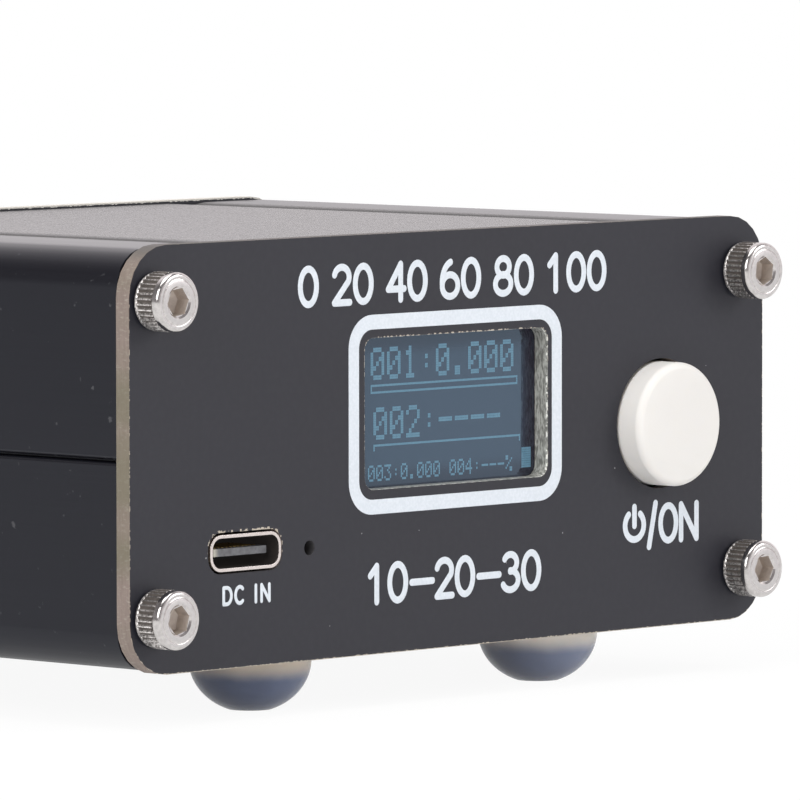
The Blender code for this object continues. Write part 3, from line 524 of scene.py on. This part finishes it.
def write(name, text, left, right, foot, head, pen, figure_width=0.655):
    """A line of figures whose ink fills a box, in metres from the panel's corner."""
    curve = bpy.data.curves.new(name, "CURVE")
    curve.dimensions = "3D"
    curve.bevel_depth = pen / 2
    curve.bevel_resolution = 2
    curve.use_fill_caps = True
    tall = head - foot - pen
    widths = [FIGURE_WIDTHS.get(figure, figure_width) * tall for figure in text]
    spacing = (right - left - pen - sum(widths)) / (len(text) - 1)
    x = left + pen / 2
    for figure, wide in zip(text, widths):
        for stroke in FIGURES.get(figure, []):
            points = [(x + wide * u, foot + pen / 2 + tall * v) for u, v in stroke]
            draw(curve, points, pen)
        x += wide + spacing
    new_piece(name, curve)
    bpy.ops.object.convert(target="MESH")
    line = bpy.context.object
    line.scale.y = INK_HEIGHT / (pen / 2)
    line.location = (PANEL_LEFT, PANEL_FRONT, PANEL_FOOT)
    coat(line, ink)
    finished(line, "housing", angle=60)


write("scale_figures", "0 20 40 60 80 100", 0.02106, 0.06167, 0.03124, 0.03502, 0.00063)
write("range_figures", "10-20-30", 0.02977, 0.05285, 0.00435, 0.00818, 0.00063)
write("socket_legend", "DC IN", 0.01147, 0.01755, 0.00551, 0.00729, 0.00034, 0.68)
switch_on = ["power", "/", "O", "N"]
write("button_legend", switch_on, 0.06388, 0.07440, 0.00758, 0.01141, 0.00063, 0.67)


# The frame round the window: its outer box, in metres from the panel's corner.
FRAME_LEFT, FRAME_RIGHT, FRAME_FOOT, FRAME_HEAD = 0.02753, 0.05558, 0.01251, 0.03033
FRAME_LINE, FRAME_CORNER = 0.00132, 0.0030

bpy.ops.object.select_all(action="DESELECT")
bpy.ops.mesh.primitive_plane_add(size=1, rotation=(math.pi / 2, 0, 0))
window_frame = bpy.context.object
window_frame.name = "window_frame"
window_frame.scale = (FRAME_RIGHT - FRAME_LEFT, FRAME_HEAD - FRAME_FOOT, 1)
bpy.ops.object.transform_apply(location=False, rotation=True, scale=True)
bpy.ops.object.mode_set(mode="EDIT")
bpy.ops.mesh.select_all(action="SELECT")
bpy.ops.mesh.bevel(offset=FRAME_CORNER, segments=12, affect="VERTICES")
bpy.ops.mesh.select_all(action="SELECT")
bpy.ops.mesh.inset(thickness=FRAME_LINE, depth=0)
bpy.ops.mesh.delete(type="FACE")
bpy.ops.mesh.select_all(action="SELECT")
bpy.ops.mesh.extrude_region_move(TRANSFORM_OT_translate={"value": (0, -INK_HEIGHT, 0)})
bpy.ops.mesh.select_all(action="SELECT")
bpy.ops.mesh.normals_make_consistent(inside=False)
bpy.ops.object.mode_set(mode="OBJECT")
frame_middle = Vector((FRAME_LEFT + FRAME_RIGHT, 0, FRAME_FOOT + FRAME_HEAD)) / 2
window_frame.location = Vector((PANEL_LEFT, PANEL_FRONT, PANEL_FOOT)) + frame_middle
coat(window_frame, ink)
finished(window_frame, "housing")


# Cap screws
# Eight stainless M3 cap screws hold the panels in the case's channels. The head
# is knurled, its rim rolled and polished, and its face ground round the socket.


def turned(name, profile, steps=96):
    """A profile of (radius, height) points, from the top down its outside, turned about Z."""
    mesh = bpy.data.meshes.new(name)
    edges = [(start, start + 1) for start in range(len(profile) - 1)]
    mesh.from_pydata([(radius, 0, height) for radius, height in profile], edges, [])
    obj = new_piece(name, mesh)
    modify(
        obj, "SCREW", axis="Z", angle=math.tau, steps=steps, render_steps=steps,
        use_merge_vertices=True, merge_threshold=1e-6, use_smooth_shade=False,
    )
    recalculate(obj)
    return obj


def recalculate(obj):
    """Merges what lies in one place and turns every face outwards."""
    pick(obj)
    bpy.ops.object.mode_set(mode="EDIT")
    bpy.ops.mesh.select_all(action="SELECT")
    bpy.ops.mesh.remove_doubles(threshold=1e-6)
    bpy.ops.mesh.normals_make_consistent(inside=False)
    bpy.ops.object.mode_set(mode="OBJECT")


def rounded(x, z, radius, first, last, steps=5):
    """Points of a profile's round corner, by its middle and two angles in degrees."""
    turns = [math.radians(first + (last - first) * step / steps) for step in range(steps + 1)]
    return [(x + radius * math.cos(turn), z + radius * math.sin(turn)) for turn in turns]


def cut(obj, cutter):
    """Takes the cutter's shape out of a piece and clears the cutter away."""
    modify(obj, "BOOLEAN", operation="DIFFERENCE", solver="EXACT", object=cutter)
    bpy.data.objects.remove(cutter)


def driven(master, name, node, outwards, spin, head, angle, shift=(0, 0)):
    """A copy of a screw in its node's place, with its head outwards, along -Y or +Y."""
    low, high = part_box(node)
    screw = new_piece(name, master.data.copy())
    seat = low.y + head if outwards < 0 else high.y - head
    screw.location = ((low.x + high.x) / 2 + shift[0], seat, (low.z + high.z) / 2 + shift[1])
    tilt = Matrix.Rotation(math.radians(-90 * outwards), 4, "X")
    screw.rotation_euler = (tilt @ Matrix.Rotation(math.radians(spin), 4, "Z")).to_euler()
    finished(screw, "housing", [node], angle)


HEAD_RADIUS, HEAD_HEIGHT, HEAD_RIM = 0.00262, 0.0030, 0.00040
SOCKET_FLATS, SOCKET_DEPTH, SOCKET_MOUTH = 0.0023, 0.0015, 0.00146
RIDGES = 34
STEPS = RIDGES * 4  # two make each ridge and two the groove beside it
CREST, VALLEY = 0.00262, 0.00246
KNURL_TOP, KNURL_FOOT = 0.00214, 0.00030
SHANK, THREAD_ROOT, SCREW_PITCH, SCREW_END = 0.00150, 0.00124, 0.0005, -0.0080

head_profile = [(0, HEAD_HEIGHT), (0.00198, HEAD_HEIGHT), (0.00205, 0.00297), (0.00211, 0.00299)]
head_profile += rounded(HEAD_RADIUS - HEAD_RIM, 0.00259, HEAD_RIM, 82, 0, 8)
head_profile += [(HEAD_RADIUS, 0.00225), (0.00258, 0.00219), (0.00246, 0.00217)]
head_profile += [(VALLEY, KNURL_TOP), (CREST, KNURL_TOP - 0.00003)]
head_profile += [(CREST, KNURL_FOOT + 0.00003), (VALLEY, KNURL_FOOT)]
head_profile += [(0.00250, 0.00026), (0.00253, 0.00020), (0.00253, 0.00005), (0.00248, 0)]
head_profile += [(SHANK, 0), (SHANK, -0.0005)]
for turn in range(13):
    level = -0.0011 - SCREW_PITCH * turn
    head_profile += [(THREAD_ROOT, level), (SHANK - 0.00001, level - SCREW_PITCH / 2)]
head_profile += [(THREAD_ROOT, SCREW_END + 0.0003), (0.0011, SCREW_END), (0, SCREW_END)]

steel = Finish("stainless_steel", metallic=1)
brushed = steel.noise(2600, 3)
fine = steel.noise(9000, 2)
ground = abs(steel.normal()["Y"]) > 0.985
tone = steel.mix(steel.ramp(brushed, 0.3, 0.7), srgb(190, 186, 184), srgb(208, 204, 202))
steel.set("Base Color", steel.mix(ground * 0.6, tone, srgb(196, 193, 193)))
steel.set("Roughness", 0.13 + brushed * 0.08 + ground * 0.21)
steel.bump(fine * ground + brushed * 0.3, 0.000004)

knurled = Finish("knurled_steel", metallic=1)
filings = knurled.noise(5200, 3)
bright = knurled.ramp(filings, 0.35, 0.62)
knurled.set("Base Color", knurled.mix(bright, srgb(150, 145, 142), srgb(244, 240, 237)))
knurled.set("Roughness", 0.32 + filings * 0.2)
knurled.bump(filings, 0.00003)

# The knurl's groove faces are painted dark brown as painted shade in the grooves.
valley_shade = Finish("knurl_valley_shade", roughness=0.7)
valley_shade_mottle = valley_shade.noise(3000, 3)
valley_shade.set("Base Color", valley_shade.mix(valley_shade_mottle, srgb(50, 45, 42), srgb(98, 91, 86)))

hex_steel = Finish("hex_steel", metallic=0.8, roughness=0.5)
pressed = hex_steel.noise(2600, 3)
hex_steel.set("Base Color", hex_steel.mix(pressed, srgb(188, 178, 170), srgb(224, 215, 207)))

cap_screw = turned("cap_screw", head_profile, STEPS)
for vertex in cap_screw.data.vertices:
    x, y, z = vertex.co
    step = round(math.atan2(y, x) / math.tau * STEPS) % 4
    if KNURL_FOOT < z < KNURL_TOP and math.hypot(x, y) > VALLEY + 0.00001 and step in (0, 1):
        vertex.co = (x * VALLEY / CREST, y * VALLEY / CREST, z)
coat(cap_screw, steel, knurled, valley_shade, hex_steel)
# Groove faces between the ridges take the painted shade; the other knurl faces take the knurled
# steel.
for face in cap_screw.data.polygons:
    x, y, z = face.center
    if math.hypot(x, y) > 0.0023 and 0 < z < KNURL_TOP:
        step = math.floor(math.atan2(y, x) / math.tau * STEPS) % 4
        face.material_index = 2 if step in (0, 3) and z > KNURL_FOOT else 1

bpy.ops.mesh.primitive_cylinder_add(
    vertices=6, radius=SOCKET_FLATS / 2 / math.cos(math.pi / 6), depth=0.0040,
    location=(0, 0, HEAD_HEIGHT - SOCKET_DEPTH + 0.0020), rotation=(0, 0, math.radians(30)),
)
hexagon = bpy.context.object
round_edges(hexagon, 0.00006)
cut(cap_screw, hexagon)
bpy.ops.mesh.primitive_cone_add(
    vertices=64, radius1=0.00125, radius2=0.00162, depth=0.0003, location=(0, 0, HEAD_HEIGHT),
)
cut(cap_screw, bpy.context.object)
drill_point = HEAD_HEIGHT - SOCKET_DEPTH - 0.00015
bpy.ops.mesh.primitive_cone_add(
    vertices=48, radius1=0, radius2=0.00118, depth=0.0005, location=(0, 0, drill_point),
)
cut(cap_screw, bpy.context.object)
for face in cap_screw.data.polygons:
    x, y, z = face.center
    if math.hypot(x, y) < SOCKET_MOUTH and 0.001 < z < HEAD_HEIGHT - 0.0002:
        face.material_index = 3

# How far each front screw sits off the middle of its hole, which is 0.3 mm wider.
SCREW_SHIFTS = (
    (-0.00015, 0.00008), (-0.00012, -0.00012), (-0.00015, 0.00010), (-0.00012, -0.00012),
)
for end, outwards in (("front", -1), ("back", 1)):
    for number in range(1, 5):
        node, spin = f"{end}_screw_{number}", (8, 24, 15, 3)[number - 1]
        shift = SCREW_SHIFTS[number - 1] if outwards < 0 else (0, 0)
        name = f"{end}_cap_screw_{number}"
        driven(cap_screw, name, node, outwards, spin, HEAD_HEIGHT, 28, shift)
bpy.data.objects.remove(cap_screw)


# Display
# A 0.96 inch display glass behind the window: a dark front layer over a wider
# ledge. Its lit dots show figures, two bar outlines and a battery block.

PANE_NEARER = 0.00016  # than the CAD glass, so that it all but touches the panel
GLASS_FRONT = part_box("display_glass")[0].y - PANE_NEARER
DOT_WIDE, DOT_HIGH = 0.0001775, 0.0002062
DOT_FILL = 0.93

POLISHED_BLUE = {
    "roughness": 0.05, "ior": 1.62, "specular_ior_level": 0.8, "specular_tint": (0.45, 0.74, 1.0),
}
glass = Finish("display_glass", **POLISHED_BLUE)
smoke = glass.noise(35, 3)
# The glass is painted darker near the window's edges, a painted shade from the window's walls.
window_edge_shade = glass.ramp(outside(glass, *window_opening), -0.0022, -0.0005, 0, 1)
tint = glass.mix(smoke, (0.026, 0.033, 0.052), (0.034, 0.041, 0.062))
glass.set("Base Color", glass.mix(window_edge_shade, tint, (0.019, 0.010, 0.018)))
glass.bump(glass.noise(160, 2), 0.000002)
pane = copy_of("display_glass", "display_pane")
for vertex in pane.data.vertices:
    if vertex.co.y < GLASS_FRONT + PANE_NEARER + 0.00005:
        vertex.co.y = GLASS_FRONT
round_edges(pane, 0.00008)
coat(pane, glass)
finished(pane, "housing", ["display_glass"])

# Each figure's seven rows of dots, five to a row, read from the left.
DOT_FIGURES = {
    "0": (14, 17, 19, 21, 25, 17, 14), "1": (4, 12, 4, 4, 4, 4, 14),
    "2": (14, 17, 1, 2, 4, 8, 31), "3": (31, 2, 4, 2, 1, 17, 14),
    "4": (2, 6, 10, 18, 31, 2, 2), ":": (0, 0, 4, 0, 4, 0, 0), ".": (0, 0, 0, 0, 0, 12, 12),
    "-": (0, 0, 0, 31, 0, 0, 0), "%": (24, 25, 2, 4, 8, 19, 3), " ": (0,) * 7,
}


def dots_of(text, column, row, scale=1):
    """The lit dots of a line of figures, each dot as its column and row."""
    lit = []
    for place, figure in enumerate(text):
        for down, bits in enumerate(DOT_FIGURES[figure]):
            for over in range(5):
                if bits >> (4 - over) & 1:
                    left, top = column + (place * 6 + over) * scale, row + down * scale
                    lit += [(left + i, top + j) for i in range(scale) for j in range(scale)]
    return lit


lit = dots_of("001:0.000", 2, 0, 2) + dots_of("002:----", 4, 26, 2)
lit += dots_of("003:0.000 004:---%", 0, 51)
lit += [(column, row) for column in range(2, 111) for row in (16, 19)]
lit += [(column, row) for column in (2, 110) for row in (17, 18)]
lit += [(column, 42) for column in range(4, 113)]
lit += [(column, row) for column in (4, 112) for row in (43, 44)]
lit += [(column, row) for column in range(114, 121) for row in range(48, 57)]
left, top = PANEL_LEFT + 0.03172, PANEL_FOOT + 0.02723
corners, squares = [], []
for column, row in sorted(set(lit)):
    x, z = left + column * DOT_WIDE, top - row * DOT_HIGH
    right, foot = x + DOT_WIDE * DOT_FILL, z - DOT_HIGH * DOT_FILL
    first = len(corners)
    corners += [(x, 0, foot), (right, 0, foot), (right, 0, z), (x, 0, z)]
    squares.append((first, first + 1, first + 2, first + 3))
dots_mesh = bpy.data.meshes.new("display_dots")
dots_mesh.from_pydata(corners, [], squares)
dots = new_piece("display_dots", dots_mesh)
dots.location.y = GLASS_FRONT - 0.000012
lit_blue = Finish("lit_dots", emission_strength=1, **POLISHED_BLUE)
flicker = lit_blue.noise(700, 2)
lit_blue.set("Base Color", lit_blue.mix(flicker, (0.010, 0.012, 0.018), (0.02, 0.025, 0.03)))
lit_blue.set("Emission Color", lit_blue.mix(flicker, (0.076, 0.165, 0.235), (0.1, 0.21, 0.285)))
coat(dots, lit_blue)
finished(dots, "housing")


# Button
# A round ivory cap, moulded, with a softly rounded edge and a face that is a
# hair proud in the middle. It is pressed onto the post of the switch.


def block(size, place=(0, 0, 0), turn=(0, 0, 0)):
    """A cube pulled to a size, at its place and turned, in degrees."""
    turn = [math.radians(angle) for angle in turn]
    bpy.ops.mesh.primitive_cube_add(size=1, scale=size, location=place, rotation=turn)
    return bpy.context.object


CAP_LOW, CAP_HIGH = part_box("button_cap")
CAP_RADIUS = (CAP_HIGH.x - CAP_LOW.x) / 2
CAP_LENGTH = CAP_HIGH.y - CAP_LOW.y
CAP_EDGE = 0.0007
POCKET_SIDE, POCKET_DEPTH = 0.0041, 0.0034

ivory = Finish(
    "ivory_plastic", subsurface_weight=0.12, subsurface_radius=(0.9, 0.75, 0.55),
    subsurface_scale=0.0012, specular_ior_level=0.32,
)
flow = ivory.noise(120, 4)
pores = ivory.noise(6500, 2)
ivory.set("Base Color", ivory.mix(flow, srgb(215, 212, 209), srgb(221, 218, 214)))
ivory.set("Roughness", 0.46 + flow * 0.1)
ivory.bump(pores, 0.000006)

cap_shoulder = CAP_LENGTH - CAP_EDGE - 0.00004
cap_profile = [(0, CAP_LENGTH), (CAP_RADIUS * 0.5, CAP_LENGTH - 0.00002)]
cap_profile += rounded(CAP_RADIUS - CAP_EDGE, cap_shoulder, CAP_EDGE, 88, 0, 10)
cap_profile += [(CAP_RADIUS, 0.0002), (CAP_RADIUS - 0.0002, 0), (0, 0)]
cap = turned("button_top", cap_profile, 128)
pocket = block((POCKET_SIDE, POCKET_SIDE, POCKET_DEPTH * 2))
round_edges(pocket, 0.0002)
cut(cap, pocket)
cap.rotation_euler.x = math.radians(90)
cap.location = ((CAP_LOW.x + CAP_HIGH.x) / 2, CAP_HIGH.y, (CAP_LOW.z + CAP_HIGH.z) / 2)
coat(cap, ivory)
finished(cap, "button", ["button_cap"], 40)


# Push switch behind the button
# A square tact switch with a black base, a pressed steel cover and a post that
# carries the cap. It stands on a small green board of its own.

black = Finish("black_moulding", roughness=0.48)
swirl = black.noise(150, 3)
black.set("Base Color", black.mix(swirl, srgb(28, 28, 30), srgb(42, 42, 44)))
black.bump(black.noise(4200, 2), 0.000008)

plate = Finish("cover_steel", metallic=1)
rolled = plate.noise(1800, 3, (1, 1, 0.05))
plate.set("Base Color", plate.mix(rolled, srgb(168, 168, 166), srgb(198, 198, 196)))
plate.set("Roughness", 0.24 + rolled * 0.16)
plate.bump(rolled, 0.000006)


def repaint(finish, *nodes):
    """Gives CAD nodes a finish in place of their plain one."""
    for node in nodes:
        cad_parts[node].data.materials[0] = finish.material


repaint(black, "switch_plunger", "switch_base", "display_header", "controller_chip")
repaint(plate, "switch_cover")


# Charging socket
# A drawn steel shell with a rolled mouth round a tongue whose
# twelve gilt contacts lie along each face. The shell's inside and the
# tongue's deep end are painted dark as painted shade, with a faint painted glow.

shell_steel = Finish("shell_steel", metallic=1)
drawn = shell_steel.noise(2400, 3, (1, 0.06, 1))
shell_steel.set("Base Color", shell_steel.mix(drawn, srgb(204, 194, 190), srgb(228, 219, 215)))
shell_steel.set("Roughness", 0.2 + drawn * 0.15)
shell_steel.bump(drawn, 0.000005)

# The shell's inside is painted a dark brown grey as painted shade, with a faint painted glow from
# its emission.
painted_dim_inside = Finish("shell_painted_dim_inside", roughness=0.6, specular_ior_level=0.2, emission_strength=1)
inside_mottle = painted_dim_inside.noise(900, 3)
painted_dim_inside.set("Base Color", painted_dim_inside.mix(inside_mottle, srgb(24, 22, 21), srgb(42, 37, 34)))
painted_dim_inside.set("Emission Color", painted_dim_inside.mix(inside_mottle, srgb(15, 14, 14), srgb(26, 23, 22)))

shell = copy_of("usb_shell", "charging_shell")
round_edges(shell, 0.00009, 3)
coat(shell, shell_steel, painted_dim_inside)
shell_middle = Vector((SLOT_X, 0, SLOT_Z))
# Faces inside the shell, and the deep faces that look out of the mouth, take the painted dim
# inside.
for face in shell.data.polygons:
    outward = face.center - shell_middle
    outward.y = 0
    inner = face.normal.dot(outward) < 0 and abs(face.normal.y) < 0.4
    deep = face.center.y > SLOT_LOW.y + 0.0003 and abs(face.normal.y) >= 0.4
    face.material_index = 1 if inner or (deep and face.normal.y < 0) else 0
finished(shell, "housing", ["usb_shell"], 40)

# The tongue's end at the mouth is painted lit grey, with a painted highlight at its left end.
# Further in it is painted dark as painted shade, with a faint painted glow.
tongue_finish = Finish("tongue", roughness=0.42, emission_strength=1)
along = tongue_finish.parts(tongue_finish.place)
tongue_low, tongue_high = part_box("usb_tongue")
tongue_mottle = tongue_finish.noise(2400, 4)
painted_lit_mouth_end = tongue_finish.mix(tongue_mottle, srgb(46, 46, 50), srgb(128, 128, 132))
at_mouth = along["Y"] < tongue_low.y + 0.0009
painted_highlight_end = tongue_finish.ramp(along["X"], tongue_low.x, tongue_low.x + 0.0008, 0.7, 0)
painted_lit_mouth_end = tongue_finish.mix(painted_highlight_end, painted_lit_mouth_end, srgb(228, 222, 205))
tongue_finish.set("Base Color", tongue_finish.mix(at_mouth, srgb(26, 26, 28), painted_lit_mouth_end))
painted_glow = tongue_finish.mix(at_mouth, srgb(19, 18, 18), srgb(3, 3, 4))
tongue_finish.set("Emission Color", painted_glow)
tongue_finish.bump(tongue_mottle, 0.00001)
tongue = copy_of("usb_tongue", "charging_tongue")
round_edges(tongue, 0.00006)
coat(tongue, tongue_finish)
finished(tongue, "housing", ["usb_tongue"])

gilt = Finish("gilt_contacts", metallic=1)
wear = gilt.noise(1600, 4)
gilt.set("Base Color", gilt.mix(wear, srgb(214, 176, 98), srgb(240, 208, 138)))
gilt.set("Roughness", 0.2 + wear * 0.2)
gilt.bump(wear, 0.000005)

CONTACTS, CONTACT_PITCH = 12, 0.0005
bpy.ops.object.select_all(action="DESELECT")
strip = block((0.00026, 0.0034, 0.00078))
strip.name = "charging_contacts"
round_edges(strip, 0.00002, 1)
modify(
    strip, "ARRAY", count=CONTACTS, use_relative_offset=False, use_constant_offset=True,
    constant_offset_displace=(CONTACT_PITCH, 0, 0),
)
first_contact = SLOT_X - (CONTACTS - 1) / 2 * CONTACT_PITCH
strip.location = (first_contact, tongue_low.y + 0.0026, (tongue_low.z + tongue_high.z) / 2)
coat(strip, gilt)
finished(strip, "housing")


# Charge lamp
# A tiny lamp soldered on the edge of the main board, looking out through the
# small hole beside the charging socket.

lens = Finish("lamp_lens", roughness=0.25, transmission_weight=0.3)
haze = lens.noise(1500, 2)
lens.set("Base Color", lens.mix(haze, srgb(70, 70, 76), srgb(98, 98, 104)))
repaint(lens, "charge_lamp")


# Boards inside
# The green main board in the case's slots, the switch's upright board and the
# blue board of the display, each with copper runs under its solder mask.


def board_finish(name, run_colour, mask_colour):
    """Solder mask over copper runs."""
    board = Finish(name, roughness=0.34)
    cells = {"Vector": board.place, "Scale": 420}
    cells = board.node("ShaderNodeTexVoronoi", {"feature": "DISTANCE_TO_EDGE"}, cells, "Distance")
    runs = board.ramp(cells, 0.06, 0.1)
    stain = board.noise(240, 3)
    ground = board.mix(stain, mask_colour, tuple(level * 0.75 for level in mask_colour))
    board.set("Base Color", board.mix(runs, run_colour, ground))
    board.bump(runs, 0.00001)
    return board


green = board_finish("green_mask", srgb(44, 116, 62), srgb(20, 78, 40))
blue = board_finish("blue_mask", srgb(38, 74, 152), srgb(22, 48, 118))
repaint(green, "main_board", "switch_board")
repaint(blue, "display_board")


# Battery, cores and through line
# A flat cell in crinkled silver foil lies under the main board. Two grey ferrite
# rings stand on the board, one round the insulated line between the sockets.

foil = Finish("cell_foil", metallic=0.85)
cells = {"Vector": foil.place, "Scale": 210}
crinkle = foil.node("ShaderNodeTexVoronoi", None, cells, "Distance")
foil.set("Base Color", foil.mix(crinkle, srgb(176, 178, 182), srgb(208, 209, 212)))
foil.set("Roughness", 0.3 + crinkle * 0.25)
foil.bump(crinkle, 0.00006)
repaint(foil, "battery")

ferrite = Finish("grey_ferrite")
sinter = ferrite.noise(1900, 5)
ferrite.set("Base Color", ferrite.mix(sinter, srgb(52, 52, 55), srgb(88, 87, 88)))
ferrite.set("Roughness", 0.55 + sinter * 0.2)
ferrite.bump(sinter, 0.00003)
repaint(ferrite, "current_core", "voltage_core")

jacket = Finish("line_jacket", roughness=0.4)
matt = jacket.noise(800, 3)
jacket.set("Base Color", jacket.mix(matt, srgb(24, 24, 26), srgb(38, 38, 40)))
jacket.bump(matt, 0.00001)
repaint(jacket, "through_line")


# Coaxial sockets
# Two nickel-plated brass bodies, each a square flange with a threaded barrel. The
# rim is notched four times. White insulation holds a gilt contact with four slots.

THREAD_PITCH = 0.0254 / 24
THREAD_TURNS = 12
BARREL_RADIUS, BARREL_ROOT, BORE_RADIUS = 0.00795, 0.00735, 0.0062
FLANGE_GAP, FLANGE_THICKNESS = 0.0002, 0.0018
NOTCH = (0.04, 0.0016, 0.0013)  # right across the rim, twice its depth, and its width
CONTACT_SLOT = (0.008, 0.0070, 0.0006)

nickel = Finish("nickel_plate", metallic=1)
satin = nickel.noise(1500, 4)
tarnish = nickel.ramp(nickel.noise(160, 4), 0.4, 0.75)
nickel.set("Base Color", nickel.mix(tarnish, srgb(214, 210, 202), srgb(190, 184, 172)))
nickel.set("Roughness", 0.2 + satin * 0.14)
nickel.bump(satin, 0.000008)

white = Finish("white_insulation", roughness=0.5, subsurface_weight=0.1, subsurface_scale=0.001)
turning = white.noise(1300, 3)
white.set("Base Color", white.mix(turning, srgb(226, 224, 216), srgb(240, 238, 231)))
white.bump(turning, 0.00001)

flange_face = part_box("back_panel")[1].y + FLANGE_GAP + FLANGE_THICKNESS
tooth = THREAD_PITCH * 0.42
thread_profile = [
    (BARREL_ROOT - 0.0001, 0, -tooth), (BARREL_RADIUS - 0.00006, 0, -tooth * 0.16),
    (BARREL_RADIUS, 0, 0), (BARREL_RADIUS - 0.00006, 0, tooth * 0.16),
    (BARREL_ROOT - 0.0001, 0, tooth),
]

for name in ("input", "output"):
    low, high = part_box(f"{name}_socket")
    x, z, rim = (low.x + high.x) / 2, (low.z + high.z) / 2, high.y

    body = copy_of(f"{name}_socket", f"{name}_socket_body")
    for vertex in body.data.vertices:
        reach = Vector((vertex.co.x - x, 0, vertex.co.z - z))
        outside_bore = reach.length > (BORE_RADIUS + BARREL_RADIUS) / 2
        if outside_bore and vertex.co.y > flange_face + 0.0005:
            vertex.co.x = x + reach.x * BARREL_ROOT / reach.length
            vertex.co.z = z + reach.z * BARREL_ROOT / reach.length
    round_edges(body, 0.00012)
    for turn in (45, 135):
        cut(body, block(NOTCH, (x, rim, z), (0, turn, 0)))
    coat(body, nickel)
    finished(body, "housing", [f"{name}_socket"], 30)

    crest = bpy.data.meshes.new("thread")
    crest.from_pydata(thread_profile, [(0, 1), (1, 2), (2, 3), (3, 4), (4, 0)], [])
    thread = new_piece(f"{name}_thread", crest)
    modify(
        thread, "SCREW", axis="Z", angle=math.tau, screw_offset=THREAD_PITCH,
        iterations=THREAD_TURNS, steps=64, render_steps=64, use_smooth_shade=False,
    )
    thread.rotation_euler.x = math.radians(-90)
    thread.location = (x, flange_face + 0.0011, z)
    bpy.ops.object.transform_apply(location=True, rotation=True, scale=True)
    recalculate(thread)
    coat(thread, nickel)
    finished(thread, "housing", (), 30)

    insulator = copy_of(f"{name}_insulator", f"{name}_insulation")
    round_edges(insulator, 0.00012)
    coat(insulator, white)
    finished(insulator, "housing", [f"{name}_insulator"])

    contact = copy_of(f"{name}_contact", f"{name}_pin_contact")
    round_edges(contact, 0.00012)
    slots_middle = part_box(f"{name}_contact")[1].y - 0.0030
    for turn in (0, 90):
        cut(contact, block(CONTACT_SLOT, (x, slots_middle, z), (0, turn, 0)))
    coat(contact, gilt)
    finished(contact, "housing", [f"{name}_contact"])


# Flange screws and nuts
# Four nickel-plated pan heads with crossed recesses hold each flange, and four
# nuts behind the panel.

PAN_RADIUS, PAN_HEIGHT, PAN_EDGE = 0.0028, 0.0018, 0.0011
PAN_SHANK, PAN_END = 0.00148, -0.0080
BLADE = (0.0027, 0.00062, 0.0019)  # one stroke of the crossed recess

pan_profile = [(0, PAN_HEIGHT), (PAN_EDGE, PAN_HEIGHT - 0.00006)]
pan_profile += rounded(PAN_RADIUS - PAN_EDGE, PAN_HEIGHT - 0.0012, PAN_EDGE, 78, 0, 8)
pan_profile += [(PAN_RADIUS, 0.0001), (PAN_RADIUS - 0.0001, 0)]
pan_profile += [(PAN_SHANK, 0), (PAN_SHANK, PAN_END + 0.0002), (0.0012, PAN_END), (0, PAN_END)]
pan_screw = turned("pan_screw", pan_profile, 64)
for turn in (0, 90):
    blade = block(BLADE, (0, 0, PAN_HEIGHT), (0, 0, turn))
    for vertex in blade.data.vertices:
        if vertex.co.z < 0:
            vertex.co.x *= 0.3
            vertex.co.y *= 0.5 if turn == 0 else 1
    cut(pan_screw, blade)
coat(pan_screw, steel)

for name in ("input", "output"):
    for number in range(1, 5):
        node, spin = f"{name}_screw_{number}", (20, 63, 41, 8)[number - 1]
        driven(pan_screw, f"{name}_pan_screw_{number}", node, 1, spin, PAN_HEIGHT, 30)
        repaint(steel, f"{name}_nut_{number}")
bpy.data.objects.remove(pan_screw)


# Feet
# Four domed bumpers of clear blue-grey rubber, stuck under the case. Each dome
# ends in a small flat.

foot_rubber = Finish(
    "clear_rubber", roughness=0.2, transmission_weight=0.3, ior=1.45,
    subsurface_weight=0.6, subsurface_radius=(0.6, 0.8, 1.0), subsurface_scale=0.003,
)
spot = foot_rubber.parts(foot_rubber.place)
bloom = foot_rubber.noise(300, 3)
deep = foot_rubber.mix(bloom, srgb(96, 106, 134), srgb(110, 120, 148))
# The dome's top is painted cream as painted light caught in the clear rubber, and feet further
# right are painted paler as painted light.
through = foot_rubber.ramp(spot["Z"] + bloom * 0.0005, 0.0029, 0.0047)
rightward_painted_light = foot_rubber.ramp(spot["X"], -0.02, 0.02)
deep = foot_rubber.mix(rightward_painted_light * 0.5, deep, srgb(150, 158, 182))
painted_light_top_colour = foot_rubber.mix(rightward_painted_light, srgb(226, 212, 194), srgb(250, 242, 230))
foot_rubber.set("Base Color", foot_rubber.mix(through, deep, painted_light_top_colour))
foot_rubber.bump(foot_rubber.noise(900, 2), 0.00001)

FOOT_BULGE = 0.0002  # how far a dome swells past the drawn one
FOOT_EQUATOR = 0.0045
RIGHT_FRONT_FOOT, SHIFT_LEFT = 2, 0.0004  # it is stuck on a little to the left
flat_angle = math.acos(0.36)  # where a dome ends in its flat
squash = FOOT_EQUATOR / math.sin(flat_angle)

for number in range(1, 5):
    low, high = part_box(f"foot_{number}")
    radius, height = (high.x - low.x) / 2 + FOOT_BULGE, high.z - low.z
    turns = [-flat_angle * step / 16 for step in range(17)]
    dome = [(0, height), (radius, height), (radius, height - 0.0001)]
    dome += [(radius * math.cos(turn), FOOT_EQUATOR + squash * math.sin(turn)) for turn in turns]
    dome += [(radius * 0.33, 0), (0, 0)]
    foot = turned(f"rubber_foot_{number}", dome, 96)
    over = SHIFT_LEFT if number == RIGHT_FRONT_FOOT else 0
    foot.location = ((low.x + high.x) / 2 - over, (low.y + high.y) / 2, low.z)
    coat(foot, foot_rubber)
    finished(foot, "housing", [f"foot_{number}"], 50)
